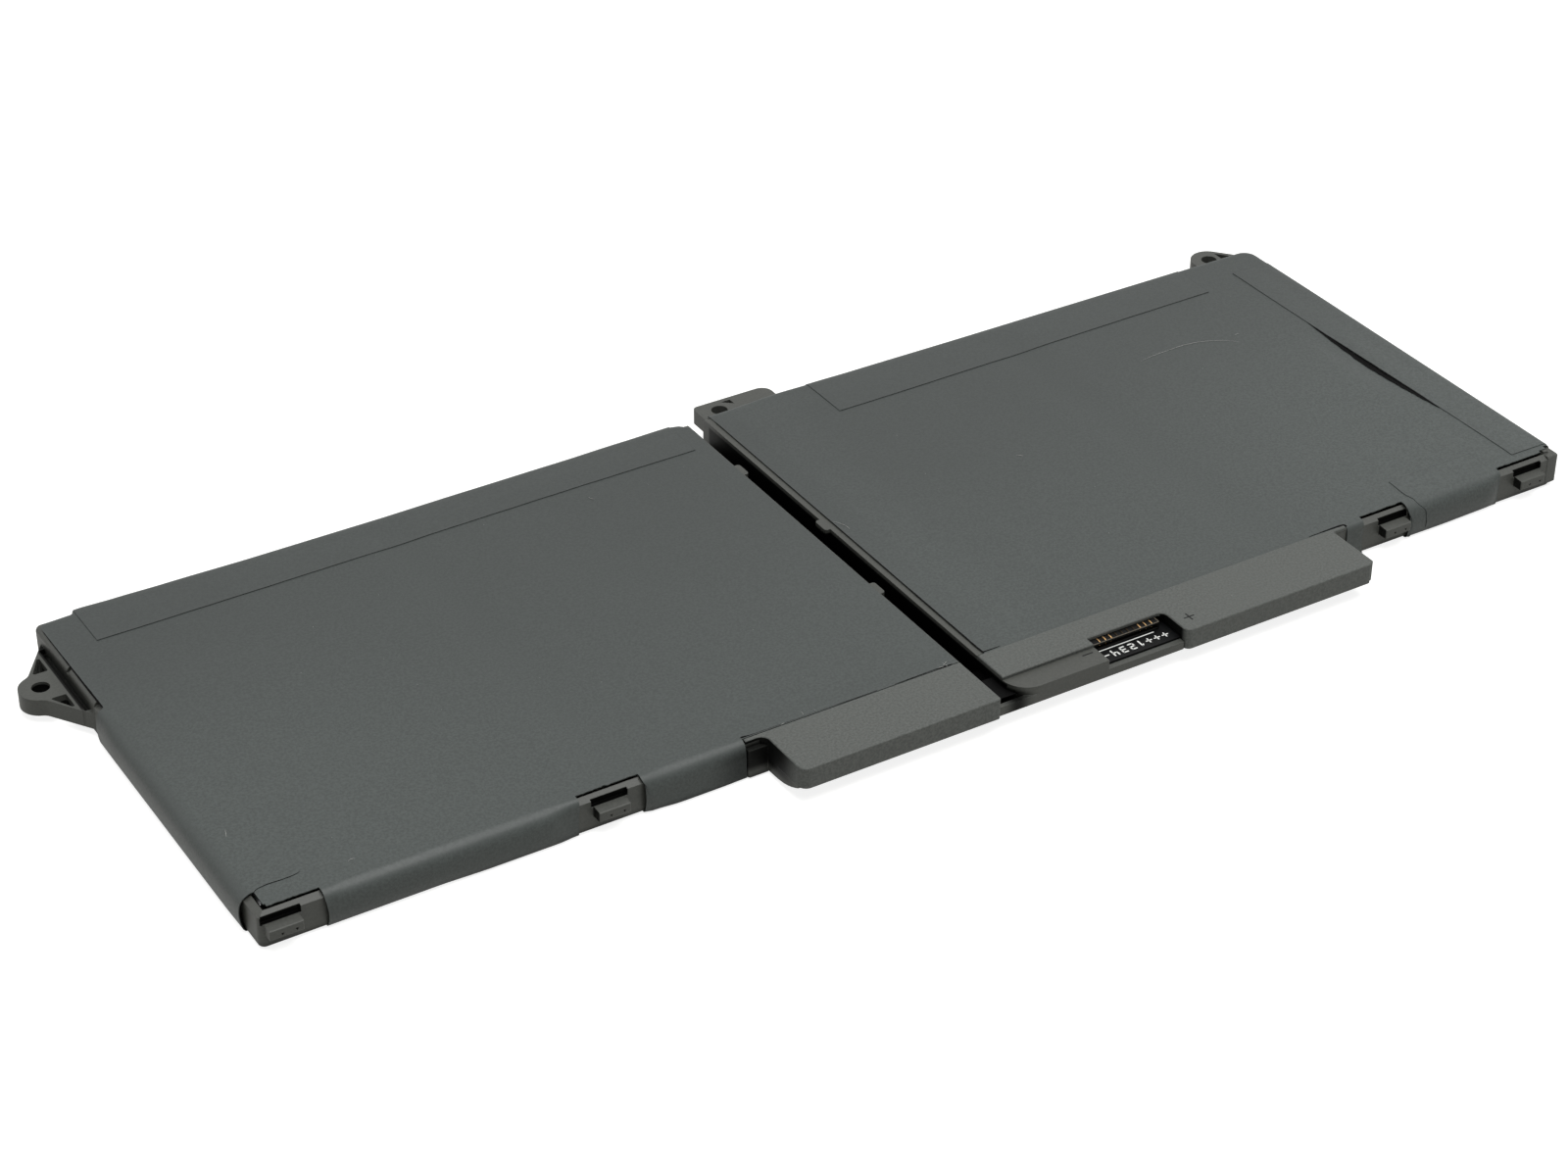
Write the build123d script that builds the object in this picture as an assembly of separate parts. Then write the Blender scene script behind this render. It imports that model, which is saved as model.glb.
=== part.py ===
"""Flat four-cell laptop battery, piece by piece, in millimetres.

X runs along the battery, Y from the connector side to the back and Z up from the face that the
battery rests on. The origin is the middle of the footprint.
"""
import math
import os
from dataclasses import dataclass

from build123d import *

# Packs and slot
left_pack_length = 113.8
right_pack_length = 113.15
slot_width = 3.2
pack_depth = 81.3
corner_radius = 1.0
top_edge_radius = 0.8
low_edge_radius = 0.4

# Reaches beyond the packs' walls
ear_reach = 7.6
housing_reach = 10.4
tab_reach = 4.5
right_ear_reach = 4.9

# Sheet and wall thicknesses
film_thickness = 0.15
tape_thickness = 0.1
wall_height = 5.85
wall_thickness = 1.2
bay_corner_radius = 1.0
ledge_thickness = 0.55
ledge_width = 2.0
web_thickness = 0.8

# Shelf along the front of each bay
shelf_depth = 3.8
shelf_rib_thickness = 1.0
shelf_rib_count = 8
shelf_back_wall = 0.8

# Front housings
housing_height = 3.55
tray_thickness = 0.8
cover_thickness = 0.6
skirt_thickness = 0.9
cover_lap = 0.7
cover_wing = 3.2
cover_edge_break = 0.15
left_housing_length = 34.3
right_housing_length = 66.5
outer_corner_radius = 1.5
inner_corner_radius = 1.4
sharp_corner_radius = 0.5

# Bay for the connector
bay_start = 16.6
bay_length = 14.1
bay_depth = 6.3
bay_inner_radius = 1.2
bay_outer_radius = 1.1
bay_lip_height = 0.55

# Curved lip left of the bay
lip_setback = 0.5
lip_ledge_depth = 4.0
lip_corner_radius = 4.2
lip_wall = 1.0
lip_plate_thickness = 0.7
cover_seat = 0.4

# Bridge across the slot
bridge_lip_height = 0.75
bridge_lip_thickness = 0.8
skirt_notch_height = 2.1

# Posts that locate the boards and carry the covers
post_radius = 0.9
post_inset = 3.4
post_end_margin = 4.0
post_hole_clearance = 0.15

# Screw ears
screw_hole_radius = 1.4
ear_thickness = 2.8
ear_rise = 1.0
ear_from_front = 68.2
ear_half_base = 10.6
ear_lobe_radius = 3.4
ear_apex_inset = 0.4
ear_neck_radius = 2.0
ear_arm_width = 1.05
ear_pocket_from_hole = 3.5
ear_pocket_from_wall = 1.65
ear_groove_width = 0.9
ear_groove_depth = 1.0
ear_groove_margin = 1.5
pocket_corner_radius = 0.25
tab_thickness = 2.6
tab_drop = 0.35
tab_start = 0.4
tab_length = 14.5
tab_left_radius = 1.0
tab_right_radius = 2.0
tab_hole_from_start = 3.7
tab_hole_from_wall = 1.6
tab_pocket_length = 1.8
tab_pocket_depth = 1.5
tab_pocket_wall = 0.8
right_ear_radius = 3.3
right_ear_from_end = 7.2
right_ear_slope = 41.0
right_ear_pocket_wall = 0.8

# Hooks on the front walls
hook_width = 5.1
hook_reach = 1.75
hook_rise = 2.3
hook_height = 1.65
hook_top_drop = 0.1
hook_edge_radius = 0.2
recess_height = 1.2
recess_depth = 0.7
recess_side_margin = 0.4
hook_notch_width = 0.5
hook_notch_height = 0.45
hook_notch_rise = 0.3
hook_notch_depth = 0.35
hook_notch_places = (0.37, 0.79)
hook_left_outer = 3.3
hook_left_inner = 53.9
hook_right_inner = 33.85
hook_right_outer = 5.7

# Sloped rim of the front wall and of the left wall in front of the ear
rim_outer_drop = 0.85
rim_inner_drop = 0.35
rim_end_margin = 1.0
rim_notch_from_front = 67.3
rim_notch_length = 0.8
rim_notch_depth = 0.9

# Nubs in the slot
nub_length = 3.2
nub_reach = 0.9
nub_height = 0.8
nub_radius = 0.5
nub_places_left = (23.9, 64.3)
nub_places_right = (43.4,)

# Film, tapes and bottom sheets
film_lap = 4.0
film_gap = 0.25
film_slot_inset_left = 0.2
film_slot_inset_right = 1.1
window_depth = 1.4
corner_window_length = 9.7
corner_window_side = 5.0
right_window_length = 11.2
right_window_side = 4.0
hook_window_near = 5.0
hook_window_far = 6.3
hook_window_right_near = 6.3
hook_window_right_far = 3.6
rim_window_width = 0.6
rim_window_start = 55.4
back_tape_depth = 7.2
left_back_tape_start = 7.0
left_back_tape_length = 104.3
right_back_tape_start = 21.0
right_back_tape_length = 76.8
side_tape_width = 7.6
side_tape_start = 4.0
side_tape_length = 71.8
front_tape_start = 16.4
front_tape_depth = 6.8
front_tape_from_end = 11.3
tape_skirt_rise = 2.1

# Cells
cell_end_clearance = 0.4
cell_spacing = 0.6
cell_top_clearance = 0.3
cell_edge_radius = 1.5
seal_length = 3.0
seal_thickness = 0.4
seal_side_inset = 2.0
seal_clearance = 0.4
cell_tab_width = 6.0
cell_tab_thickness = 0.1
cell_tab_offset = 12.0
cell_tab_length = 2.9
strip_thickness = 0.15
strip_width = 2.0
strip_end_margin = 0.8
pad_clearance = 0.3
pad_corner_radius = 1.0

# Boards and what they carry
board_thickness = 0.8
board_clearance = 0.12
board_corner_radius = 0.8
terminal_board_start = 6.0
housing_board_margin = 1.6
link_width = 5.2
link_thickness = 0.2
link_lap = 3.6
link_from_front = 1.6
connector_length = 14.3
connector_depth = 2.8
connector_height = 1.25
connector_wall = 0.3
connector_from_bay_back = 1.3
connector_bay_overlap = 1.7
contact_count = 10
contact_pitch = 1.05
contact_width = 0.4
contact_height = 0.7
contact_end_margin = 2.45
contact_foot = 0.6
fuse_size = (4.0, 2.5, 0.9)
transistor_size = (3.3, 3.3, 0.8)
gauge_size = (5.0, 5.0, 0.9)
resistor_size = (6.4, 3.2, 0.6)
thermistor_size = (1.6, 0.8, 0.6)
component_row = 3.6
component_spacing = 1.2
fuse_from_bay = 5.6

overcut = 5.0
tiny = 0.001
widest_round = 2.1

# Planes worked out from the sizes above
FOOTPRINT_LENGTH = (
    ear_reach + left_pack_length + slot_width + right_pack_length + film_thickness + tape_thickness
)
FOOTPRINT_DEPTH = housing_reach + pack_depth + right_ear_reach
LEFT = ear_reach - FOOTPRINT_LENGTH / 2
SLOT_LEFT = LEFT + left_pack_length
SLOT_RIGHT = SLOT_LEFT + slot_width
RIGHT = SLOT_RIGHT + right_pack_length
FRONT = housing_reach - FOOTPRINT_DEPTH / 2
BACK = FRONT + pack_depth
HOUSING_FRONT = FRONT - housing_reach

FRAME_LOW = film_thickness
FRAME_TOP = FRAME_LOW + wall_height
FILM_TOP = FRAME_TOP + film_thickness
LEDGE_TOP = FRAME_LOW + ledge_thickness
TRAY_LOW = FILM_TOP - housing_height
TRAY_TOP = TRAY_LOW + tray_thickness
COVER_LOW = FILM_TOP - cover_thickness
BOARD_TOP = TRAY_TOP + board_thickness
ABOVE = FILM_TOP + overcut
BELOW = -overcut

SHELF_BACK = FRONT + wall_thickness + shelf_depth
SEAL_FRONT = SHELF_BACK + seal_clearance
CELL_FRONT = SEAL_FRONT + seal_length
CELL_BACK = BACK - wall_thickness - cell_end_clearance

LEFT_HOUSING_START = SLOT_LEFT - left_housing_length
RIGHT_HOUSING_END = SLOT_RIGHT + right_housing_length
LIP_FRONT = HOUSING_FRONT + lip_setback
GROOVE = LIP_FRONT + lip_ledge_depth
BAY_LEFT = SLOT_RIGHT + bay_start
BAY_RIGHT = BAY_LEFT + bay_length
BAY_BACK = HOUSING_FRONT + bay_depth
SKIRT_INSIDE = skirt_thickness + board_clearance


@dataclass(frozen=True)
class Pack:
    """One cell bay: the X of its outer wall and of its wall at the slot."""

    name: str
    outer: float
    inner: float

    @property
    def side(self):
        """1 where the outer wall is on the right, -1 on the left."""
        return 1 if self.outer > self.inner else -1

    def from_outer(self, distance):
        """X at a distance from the outer wall, towards the slot."""
        return self.outer - self.side * distance

    def from_slot(self, distance):
        """X at a distance from the slot, towards the outer wall."""
        return self.inner + self.side * distance

    def bay(self):
        """X range between the insides of the two walls."""
        return span(self.from_outer(wall_thickness), self.from_slot(wall_thickness))

    def cells(self):
        """X ranges of the two cells, from left to right."""
        low, high = self.bay()
        width = (high - low - 2 * cell_end_clearance - cell_spacing) / 2
        first = low + cell_end_clearance
        second = first + width + cell_spacing
        return ((first, first + width), (second, second + width))


def span(one, other):
    """Two values in rising order."""
    return (min(one, other), max(one, other))


LEFT_PACK = Pack("left", LEFT, SLOT_LEFT)
RIGHT_PACK = Pack("right", RIGHT, SLOT_RIGHT)


def slab(x, y, z, radius=0.0):
    """Flat block between two X, two Y and two Z values, with rounded upright corners."""
    length = x[1] - x[0]
    depth = y[1] - y[0]
    if radius > 0:
        plan = RectangleRounded(length, depth, min(radius, length / widest_round, depth / widest_round))
    else:
        plan = Rectangle(length, depth)
    return Pos((x[0] + x[1]) / 2, (y[0] + y[1]) / 2, z[0]) * extrude(plan, z[1] - z[0])


def raised(plan, z):
    """A plan outline made solid between two heights."""
    return Pos(0, 0, z[0]) * extrude(plan, z[1] - z[0])


def outline(points):
    """Closed plan outline through the points."""
    return make_face(Polyline(points, close=True))


def round_corner(plan, point, radius):
    """The same outline with the corner nearest to the point rounded."""
    corner = plan.vertices().sort_by_distance((point[0], point[1], 0))[0]
    return fillet(corner, radius)


def disc(point, radius):
    """Round plan outline about a point."""
    return Pos(point[0], point[1]) * Circle(radius)


def pack_block(pack, grow=0.0):
    """Outside of one pack. A grown one is larger on every side but the slot side."""
    outer = pack.outer + pack.side * grow
    low = FRONT - grow
    high = BACK + grow
    plan = outline([(pack.inner, low), (outer, low), (outer, high), (pack.inner, high)])
    plan = round_corner(plan, (outer, low), corner_radius + grow)
    plan = round_corner(plan, (outer, high), corner_radius + grow)
    block = raised(plan, (FRAME_LOW - grow, FRAME_TOP + grow))
    for place, radius in ((-1, top_edge_radius + grow), (0, low_edge_radius + grow)):
        face = block.faces().sort_by(Axis.Z)[place]
        edges = face.edges().filter_by(lambda edge: abs(edge.center().X - pack.inner) > tiny)
        block = fillet(edges, radius)
    return block


def bay_hollow(pack):
    """Room for the cells, with the shelf and the ledges left standing."""
    x = pack.bay()
    main = slab(x, (SHELF_BACK, BACK - wall_thickness), (LEDGE_TOP, ABOVE), bay_corner_radius)
    over_shelf = slab(
        x, (FRONT + wall_thickness, SHELF_BACK + 2 * bay_corner_radius), (TRAY_TOP, ABOVE)
    )
    hollow = main + over_shelf
    for low, high in pack.cells():
        hollow += slab(
            (low + ledge_width, high - ledge_width),
            (SHELF_BACK + ledge_width, BACK - wall_thickness - ledge_width),
            (BELOW, ABOVE),
            bay_corner_radius,
        )
    return hollow


def shelf_pockets(pack):
    """Coring under the shelf, open to the underside, between evenly spaced ribs."""
    low, high = pack.bay()
    pitch = (high - low - shelf_rib_thickness) / shelf_rib_count
    pockets = Part()
    for index in range(shelf_rib_count):
        start = low + shelf_rib_thickness + index * pitch
        pockets += slab(
            (start, start + pitch - shelf_rib_thickness),
            (FRONT + wall_thickness, SHELF_BACK - shelf_back_wall),
            (BELOW, TRAY_LOW),
        )
    return pockets


def hook_places():
    """Middle X of each hook, from left to right."""
    return (
        LEFT_PACK.from_outer(hook_left_outer),
        LEFT_PACK.from_outer(hook_left_inner),
        RIGHT_PACK.from_outer(hook_right_inner),
        RIGHT_PACK.from_outer(hook_right_outer),
    )


def hook(x):
    """One small hook on the front wall, with two pointed notches in its front face."""
    low = FRAME_LOW + hook_rise
    high = low + hook_height
    tip = FRONT - hook_reach
    root = FRONT + wall_thickness / 2
    profile = Plane.YZ * outline(
        [(root, low), (tip, low), (tip, high - hook_top_drop), (FRONT, high), (root, high)]
    )
    body = Pos(x - hook_width / 2, 0, 0) * extrude(profile, hook_width)
    front_face = body.faces().sort_by(Axis.Y)[0]
    body = fillet(front_face.edges(), hook_edge_radius)
    for place in hook_notch_places:
        body -= hook_notch(x + (place - 0.5) * hook_width, low + hook_notch_rise)
    return body


def hook_notch(x, low):
    """Three-sided notch in a hook's front face, pointing down."""
    high = low + hook_notch_height
    half = hook_notch_width / 2
    face = Plane.XZ * outline([(x, low), (x + half, high), (x - half, high)])
    tip = FRONT - hook_reach
    return Pos(0, tip + hook_notch_depth, 0) * extrude(face, hook_notch_depth + overcut)


def rim_slopes():
    """Wedges off the top of the front wall beside the housings and of the left wall."""
    inside = wall_thickness + tiny
    section = [
        (-overcut, FRAME_TOP - rim_outer_drop),
        (0, FRAME_TOP - rim_outer_drop),
        (inside, FRAME_TOP - rim_inner_drop),
        (inside, ABOVE),
        (-overcut, ABOVE),
    ]
    front = Plane.YZ * outline([(FRONT + across, z) for across, z in section])
    flank = Plane.XZ * outline([(LEFT + across, z) for across, z in section])
    left_end = LEFT_HOUSING_START - cover_wing - rim_end_margin
    right_start = RIGHT_HOUSING_END + cover_wing + rim_end_margin
    flank_end = FRONT + ear_from_front - ear_half_base
    slopes = Pos(LEFT - overcut, 0, 0) * extrude(front, left_end - LEFT + overcut)
    slopes += Pos(right_start, 0, 0) * extrude(front, RIGHT + overcut - right_start)
    return slopes + Pos(0, flank_end, 0) * extrude(flank, flank_end - FRONT + overcut)


def rim_notch():
    """Small notch in the bare rim of the left wall, beside the ear."""
    start = FRONT + rim_notch_from_front
    return slab(
        (LEFT - overcut, LEFT + rim_window_width),
        (start, start + rim_notch_length),
        (FRAME_TOP - rim_notch_depth, ABOVE),
    )


def hook_recess(x):
    """Pocket in the front wall above a hook."""
    half = hook_width / 2 + recess_side_margin
    low = FRAME_LOW + hook_rise + hook_height
    return slab((x - half, x + half), (FRONT - overcut, FRONT + recess_depth), (low, low + recess_height))


def nub(pack, from_front):
    """Small rounded nub that stands out of a slot wall, level with the wall's top."""
    y = FRONT + from_front
    tip = pack.inner + pack.side * -nub_reach
    root = pack.from_slot(wall_thickness / 2)
    z = (FRAME_TOP - nub_height, FRAME_TOP)
    return slab(span(tip, root), (y - nub_length / 2, y + nub_length / 2), z, nub_radius)


def left_ear():
    """Two-armed screw ear on the left wall, with a pocket in each arm."""
    y = FRONT + ear_from_front
    hole = (LEFT - ear_reach + ear_lobe_radius, y)
    apex = LEFT - ear_reach + ear_apex_inset
    root = LEFT + wall_thickness / 2
    plan = outline([
        (root, y - ear_half_base),
        (LEFT, y - ear_half_base),
        (apex, y),
        (LEFT, y + ear_half_base),
        (root, y + ear_half_base),
    ])
    plan = plan + disc(hole, ear_lobe_radius)
    necks = plan.vertices().filter_by(lambda corner: corner.X < LEFT - tiny)
    plan = fillet(necks, ear_neck_radius)
    plan = plan - disc(hole, screw_hole_radius)
    for turn in (-1, 1):
        plan = plan - ear_pocket(y, apex + ear_arm_width, turn)
    z = (FRAME_LOW + ear_rise, FRAME_LOW + ear_rise + ear_thickness)
    groove_half = ear_half_base - ear_groove_margin
    groove = slab(
        (LEFT - ear_groove_width, LEFT),
        (y - groove_half, y + groove_half),
        (z[1] - ear_groove_depth, ABOVE),
    )
    return raised(plan, z) - groove


def ear_pocket(y, inner_apex, turn):
    """Three-sided pocket between an arm, the wall and the screw's boss."""
    wall_side = LEFT - ear_pocket_from_wall
    rise = (LEFT - inner_apex) / ear_half_base
    near = inner_apex + rise * ear_pocket_from_hole
    far = (wall_side - inner_apex) / rise
    plan = outline([
        (wall_side, y + turn * ear_pocket_from_hole),
        (near, y + turn * ear_pocket_from_hole),
        (wall_side, y + turn * far),
    ])
    return fillet(plan.vertices(), pocket_corner_radius)


def middle_tab():
    """Screw tab behind the right pack, beside the slot."""
    start = SLOT_RIGHT + tab_start
    end = start + tab_length
    back = BACK + tab_reach
    root = BACK - wall_thickness / 2
    plan = outline([(start, root), (end, root), (end, back), (start, back)])
    plan = round_corner(plan, (start, back), tab_left_radius)
    plan = round_corner(plan, (end, back), tab_right_radius)
    hole = tab_hole()
    plan = plan - disc(hole, screw_hole_radius)
    pocket_start = hole[0] + screw_hole_radius
    pocket_back = back - tab_pocket_wall
    plan = plan - outline([
        (pocket_start, pocket_back),
        (pocket_start + tab_pocket_length, pocket_back),
        (pocket_start + tab_pocket_length, pocket_back - tab_pocket_depth),
    ])
    return raised(plan, back_ear_heights())


def back_ear_heights():
    """Lowest and highest Z of the two ears at the back."""
    top = FRAME_TOP - tab_drop
    return (top - tab_thickness, top)


def tab_hole():
    """Middle of the screw hole in the middle tab."""
    return (SLOT_RIGHT + tab_start + tab_hole_from_start, BACK + tab_hole_from_wall)


def right_ear_hole():
    """Middle of the screw hole in the right ear."""
    return (RIGHT - right_ear_from_end, BACK + right_ear_reach - right_ear_radius)


def right_ear():
    """Round screw ear behind the right pack, with one sloped arm."""
    hole = right_ear_hole()
    slope = math.radians(right_ear_slope)
    touch = (
        hole[0] + right_ear_radius * math.cos(slope),
        hole[1] + right_ear_radius * math.sin(slope),
    )
    arm_end = touch[0] + (touch[1] - BACK) * math.tan(slope)
    left_side = hole[0] - right_ear_radius
    root = BACK - wall_thickness / 2
    plan = outline([
        (left_side, root),
        (left_side, hole[1]),
        hole,
        touch,
        (arm_end, BACK),
        (arm_end, root),
    ])
    plan = plan + disc(hole, right_ear_radius)
    plan = plan - disc(hole, screw_hole_radius)
    inner = screw_hole_radius + right_ear_pocket_wall
    wall = right_ear_pocket_wall
    pocket_low = BACK + wall
    plan = plan - outline([
        (hole[0] + inner, pocket_low),
        (arm_end - 2 * wall, pocket_low),
        (hole[0] + inner, pocket_low + (arm_end - 2 * wall - hole[0] - inner) / math.tan(slope)),
    ])
    return raised(plan, back_ear_heights())


def left_cover_plan():
    """Outline of the left cover, with its wing along the front wall."""
    end = LEFT_HOUSING_START - cover_wing
    plan = outline([
        (end, FRONT),
        (LEFT_HOUSING_START, FRONT),
        (LEFT_HOUSING_START, HOUSING_FRONT),
        (SLOT_LEFT, HOUSING_FRONT),
        (SLOT_LEFT, FRONT + cover_lap),
        (end, FRONT + cover_lap),
    ])
    plan = round_corner(plan, (LEFT_HOUSING_START, FRONT), inner_corner_radius)
    plan = round_corner(plan, (LEFT_HOUSING_START, HOUSING_FRONT), outer_corner_radius)
    return round_corner(plan, (SLOT_LEFT, HOUSING_FRONT), sharp_corner_radius)


def board_cover_plan():
    """Outline of the right cover: short at the left, open at the bay, full at the right."""
    end = RIGHT_HOUSING_END + cover_wing
    plan = outline([
        (SLOT_RIGHT, FRONT + cover_lap),
        (SLOT_RIGHT, GROOVE),
        (BAY_LEFT, GROOVE),
        (BAY_LEFT, BAY_BACK),
        (BAY_RIGHT, BAY_BACK),
        (BAY_RIGHT, HOUSING_FRONT),
        (RIGHT_HOUSING_END, HOUSING_FRONT),
        (RIGHT_HOUSING_END, FRONT),
        (end, FRONT),
        (end, FRONT + cover_lap),
    ])
    plan = round_corner(plan, (BAY_RIGHT, BAY_BACK), bay_inner_radius)
    plan = round_corner(plan, (BAY_RIGHT, HOUSING_FRONT), bay_outer_radius)
    plan = round_corner(plan, (RIGHT_HOUSING_END, HOUSING_FRONT), sharp_corner_radius)
    return round_corner(plan, (RIGHT_HOUSING_END, FRONT), inner_corner_radius)


def cover_plate(plan):
    """Top plate of a cover, with its upper edge broken."""
    plate = raised(plan, (COVER_LOW, FILM_TOP))
    top = plate.faces().sort_by(Axis.Z)[-1]
    return chamfer(top.edges(), cover_edge_break)


def skirt(plan, x):
    """Wall that hangs from a cover's outline, in front of the frame's wall."""
    ring = raised(plan - offset(plan, -skirt_thickness), (TRAY_LOW, COVER_LOW))
    inside = (x[0] + skirt_thickness, x[1] - skirt_thickness)
    ring -= slab(inside, (FRONT - skirt_thickness, BACK), (BELOW, ABOVE))
    return ring - slab((LEFT, RIGHT), (FRONT - board_clearance, BACK), (BELOW, ABOVE))


def left_cover():
    """Cover of the left housing, notched where the bridge passes."""
    plan = left_cover_plan()
    notch = slab(
        (SLOT_LEFT - SKIRT_INSIDE, SLOT_LEFT + overcut),
        (LIP_FRONT - board_clearance, FRONT),
        (BELOW, TRAY_LOW + skirt_notch_height),
    )
    return cover_plate(plan) + (skirt(plan, (LEFT_HOUSING_START, SLOT_LEFT)) - notch)


def board_cover():
    """Cover of the board housing, with the connector bay cut out."""
    plan = board_cover_plan()
    walls = skirt(plan, (SLOT_RIGHT, RIGHT_HOUSING_END))
    walls -= slab((SLOT_RIGHT - overcut, BAY_RIGHT), (HOUSING_FRONT - overcut, BACK), (BELOW, ABOVE))
    walls -= slab(
        (BAY_RIGHT - overcut, BAY_RIGHT + SKIRT_INSIDE),
        (bay_lip_back() - board_clearance, FRONT),
        (BELOW, BOARD_TOP + board_clearance),
    )
    return cover_plate(plan) + walls


def bay_lip_back():
    """Y of the inner side of the lip in front of the bay."""
    return LIP_FRONT + lip_wall


def left_tray():
    """Floor of the left housing, inside the cover's skirt."""
    x = left_tray_range()
    y = (HOUSING_FRONT + SKIRT_INSIDE, FRONT + wall_thickness)
    return slab(x, y, (TRAY_LOW, TRAY_TOP)) + posts(x)


def left_tray_range():
    """X range of the left tray, inside the cover's skirt."""
    return (LEFT_HOUSING_START + SKIRT_INSIDE, SLOT_LEFT - SKIRT_INSIDE)


def posts(x):
    """Two posts that locate a board and carry the cover."""
    y = HOUSING_FRONT + post_inset
    result = Part()
    for place in post_places(x):
        result += raised(disc((place, y), post_radius), (TRAY_LOW, COVER_LOW))
    return result


def post_places(x):
    """X of the posts in a housing that spans x."""
    return (x[0] + post_end_margin, x[1] - post_end_margin)


def bridge():
    """Low floor and lip that join the two housings across the slot."""
    floor = slab(
        (SLOT_LEFT - SKIRT_INSIDE, SLOT_RIGHT + lip_corner_radius),
        (LIP_FRONT, FRONT + wall_thickness / 2),
        (TRAY_LOW, TRAY_TOP),
    )
    lip = slab(
        (SLOT_LEFT + board_clearance, SLOT_RIGHT + lip_corner_radius),
        (LIP_FRONT, LIP_FRONT + bridge_lip_thickness),
        (TRAY_LOW, TRAY_TOP + bridge_lip_height),
    )
    return floor + lip


def lip_plan():
    """Outline of the frame's housing left of the bay, with its large round corner."""
    plan = outline([
        (SLOT_RIGHT, FRONT + wall_thickness / 2),
        (SLOT_RIGHT, LIP_FRONT),
        (BAY_LEFT, LIP_FRONT),
        (BAY_LEFT, FRONT + wall_thickness / 2),
    ])
    return round_corner(plan, (SLOT_RIGHT, LIP_FRONT), lip_corner_radius)


def lip_housing():
    """Round-cornered wall and top ledge of the frame left of the bay."""
    plan = lip_plan()
    floor = raised(plan, (TRAY_LOW, TRAY_TOP))
    ring = plan - offset(plan, -lip_wall)
    wall = raised(ring, (TRAY_LOW, COVER_LOW))
    wall -= slab(
        (BAY_LEFT - 2 * lip_wall, BAY_LEFT + overcut),
        (bay_lip_back(), BACK),
        (TRAY_TOP, BOARD_TOP + board_clearance),
    )
    wall -= slab(
        (SLOT_RIGHT + lip_wall, BAY_LEFT + overcut), (GROOVE + cover_seat, BACK), (TRAY_TOP, ABOVE)
    )
    ledge = raised(plan, (COVER_LOW - lip_plate_thickness, COVER_LOW))
    ledge -= slab(
        (SLOT_RIGHT - overcut, BAY_LEFT + overcut), (GROOVE + cover_seat, BACK), (TRAY_TOP, ABOVE)
    )
    slot_notch = slab(
        (SLOT_RIGHT - overcut, SLOT_RIGHT + lip_corner_radius),
        link_notch_range(),
        (BOARD_TOP - board_clearance, BOARD_TOP + link_thickness + board_clearance),
    )
    return floor + wall + ledge - slot_notch


def link_range():
    """Y range of the link strip."""
    return (LIP_FRONT + link_from_front, LIP_FRONT + link_from_front + link_width)


def link_notch_range():
    """Y range of the notches that the link strip passes through."""
    low, high = link_range()
    return (low - board_clearance, high + board_clearance)


def bay_lip():
    """Floor and low lip of the frame in front of the connector."""
    end = BAY_RIGHT - board_clearance
    floor = slab((BAY_LEFT - lip_wall, end), (LIP_FRONT, FRONT + wall_thickness), (TRAY_LOW, TRAY_TOP))
    lip_top = TRAY_TOP + bay_lip_height
    lip = slab((BAY_LEFT - lip_wall, end), (LIP_FRONT, bay_lip_back()), (TRAY_LOW, lip_top))
    return floor + lip


def right_tray():
    """Floor of the board housing right of the bay, inside the cover's skirt."""
    behind_skirt = bay_lip_back()
    step = slab(
        (BAY_RIGHT - lip_wall, BAY_RIGHT + SKIRT_INSIDE + lip_wall),
        (behind_skirt, FRONT + wall_thickness),
        (TRAY_LOW, TRAY_TOP),
    )
    x = right_tray_range()
    y = (HOUSING_FRONT + SKIRT_INSIDE, FRONT + wall_thickness)
    return step + slab(x, y, (TRAY_LOW, TRAY_TOP)) + posts(x)


def right_tray_range():
    """X range of the right tray, inside the cover's skirt."""
    return (BAY_RIGHT + SKIRT_INSIDE, RIGHT_HOUSING_END - SKIRT_INSIDE)


def board_passages():
    """Openings in the front walls, through which the boards reach the cells' tabs."""
    y = (FRONT - overcut, FRONT + wall_thickness + tiny)
    left = slab(
        (LEFT_HOUSING_START + housing_board_margin, SLOT_LEFT - wall_thickness), y, (TRAY_TOP, ABOVE)
    )
    right = slab(
        (SLOT_RIGHT + wall_thickness, RIGHT_HOUSING_END - housing_board_margin), y, (TRAY_TOP, ABOVE)
    )
    return left + right


def cover_seats():
    """Room for the covers on top of the front walls."""
    y = (HOUSING_FRONT - overcut, FRONT + cover_lap + board_clearance)
    z = (COVER_LOW, ABOVE)
    left = slab((LEFT_HOUSING_START - cover_wing - board_clearance, SLOT_LEFT + tiny), y, z)
    right = slab((SLOT_RIGHT - tiny, RIGHT_HOUSING_END + cover_wing + board_clearance), y, z)
    return left + right


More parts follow.
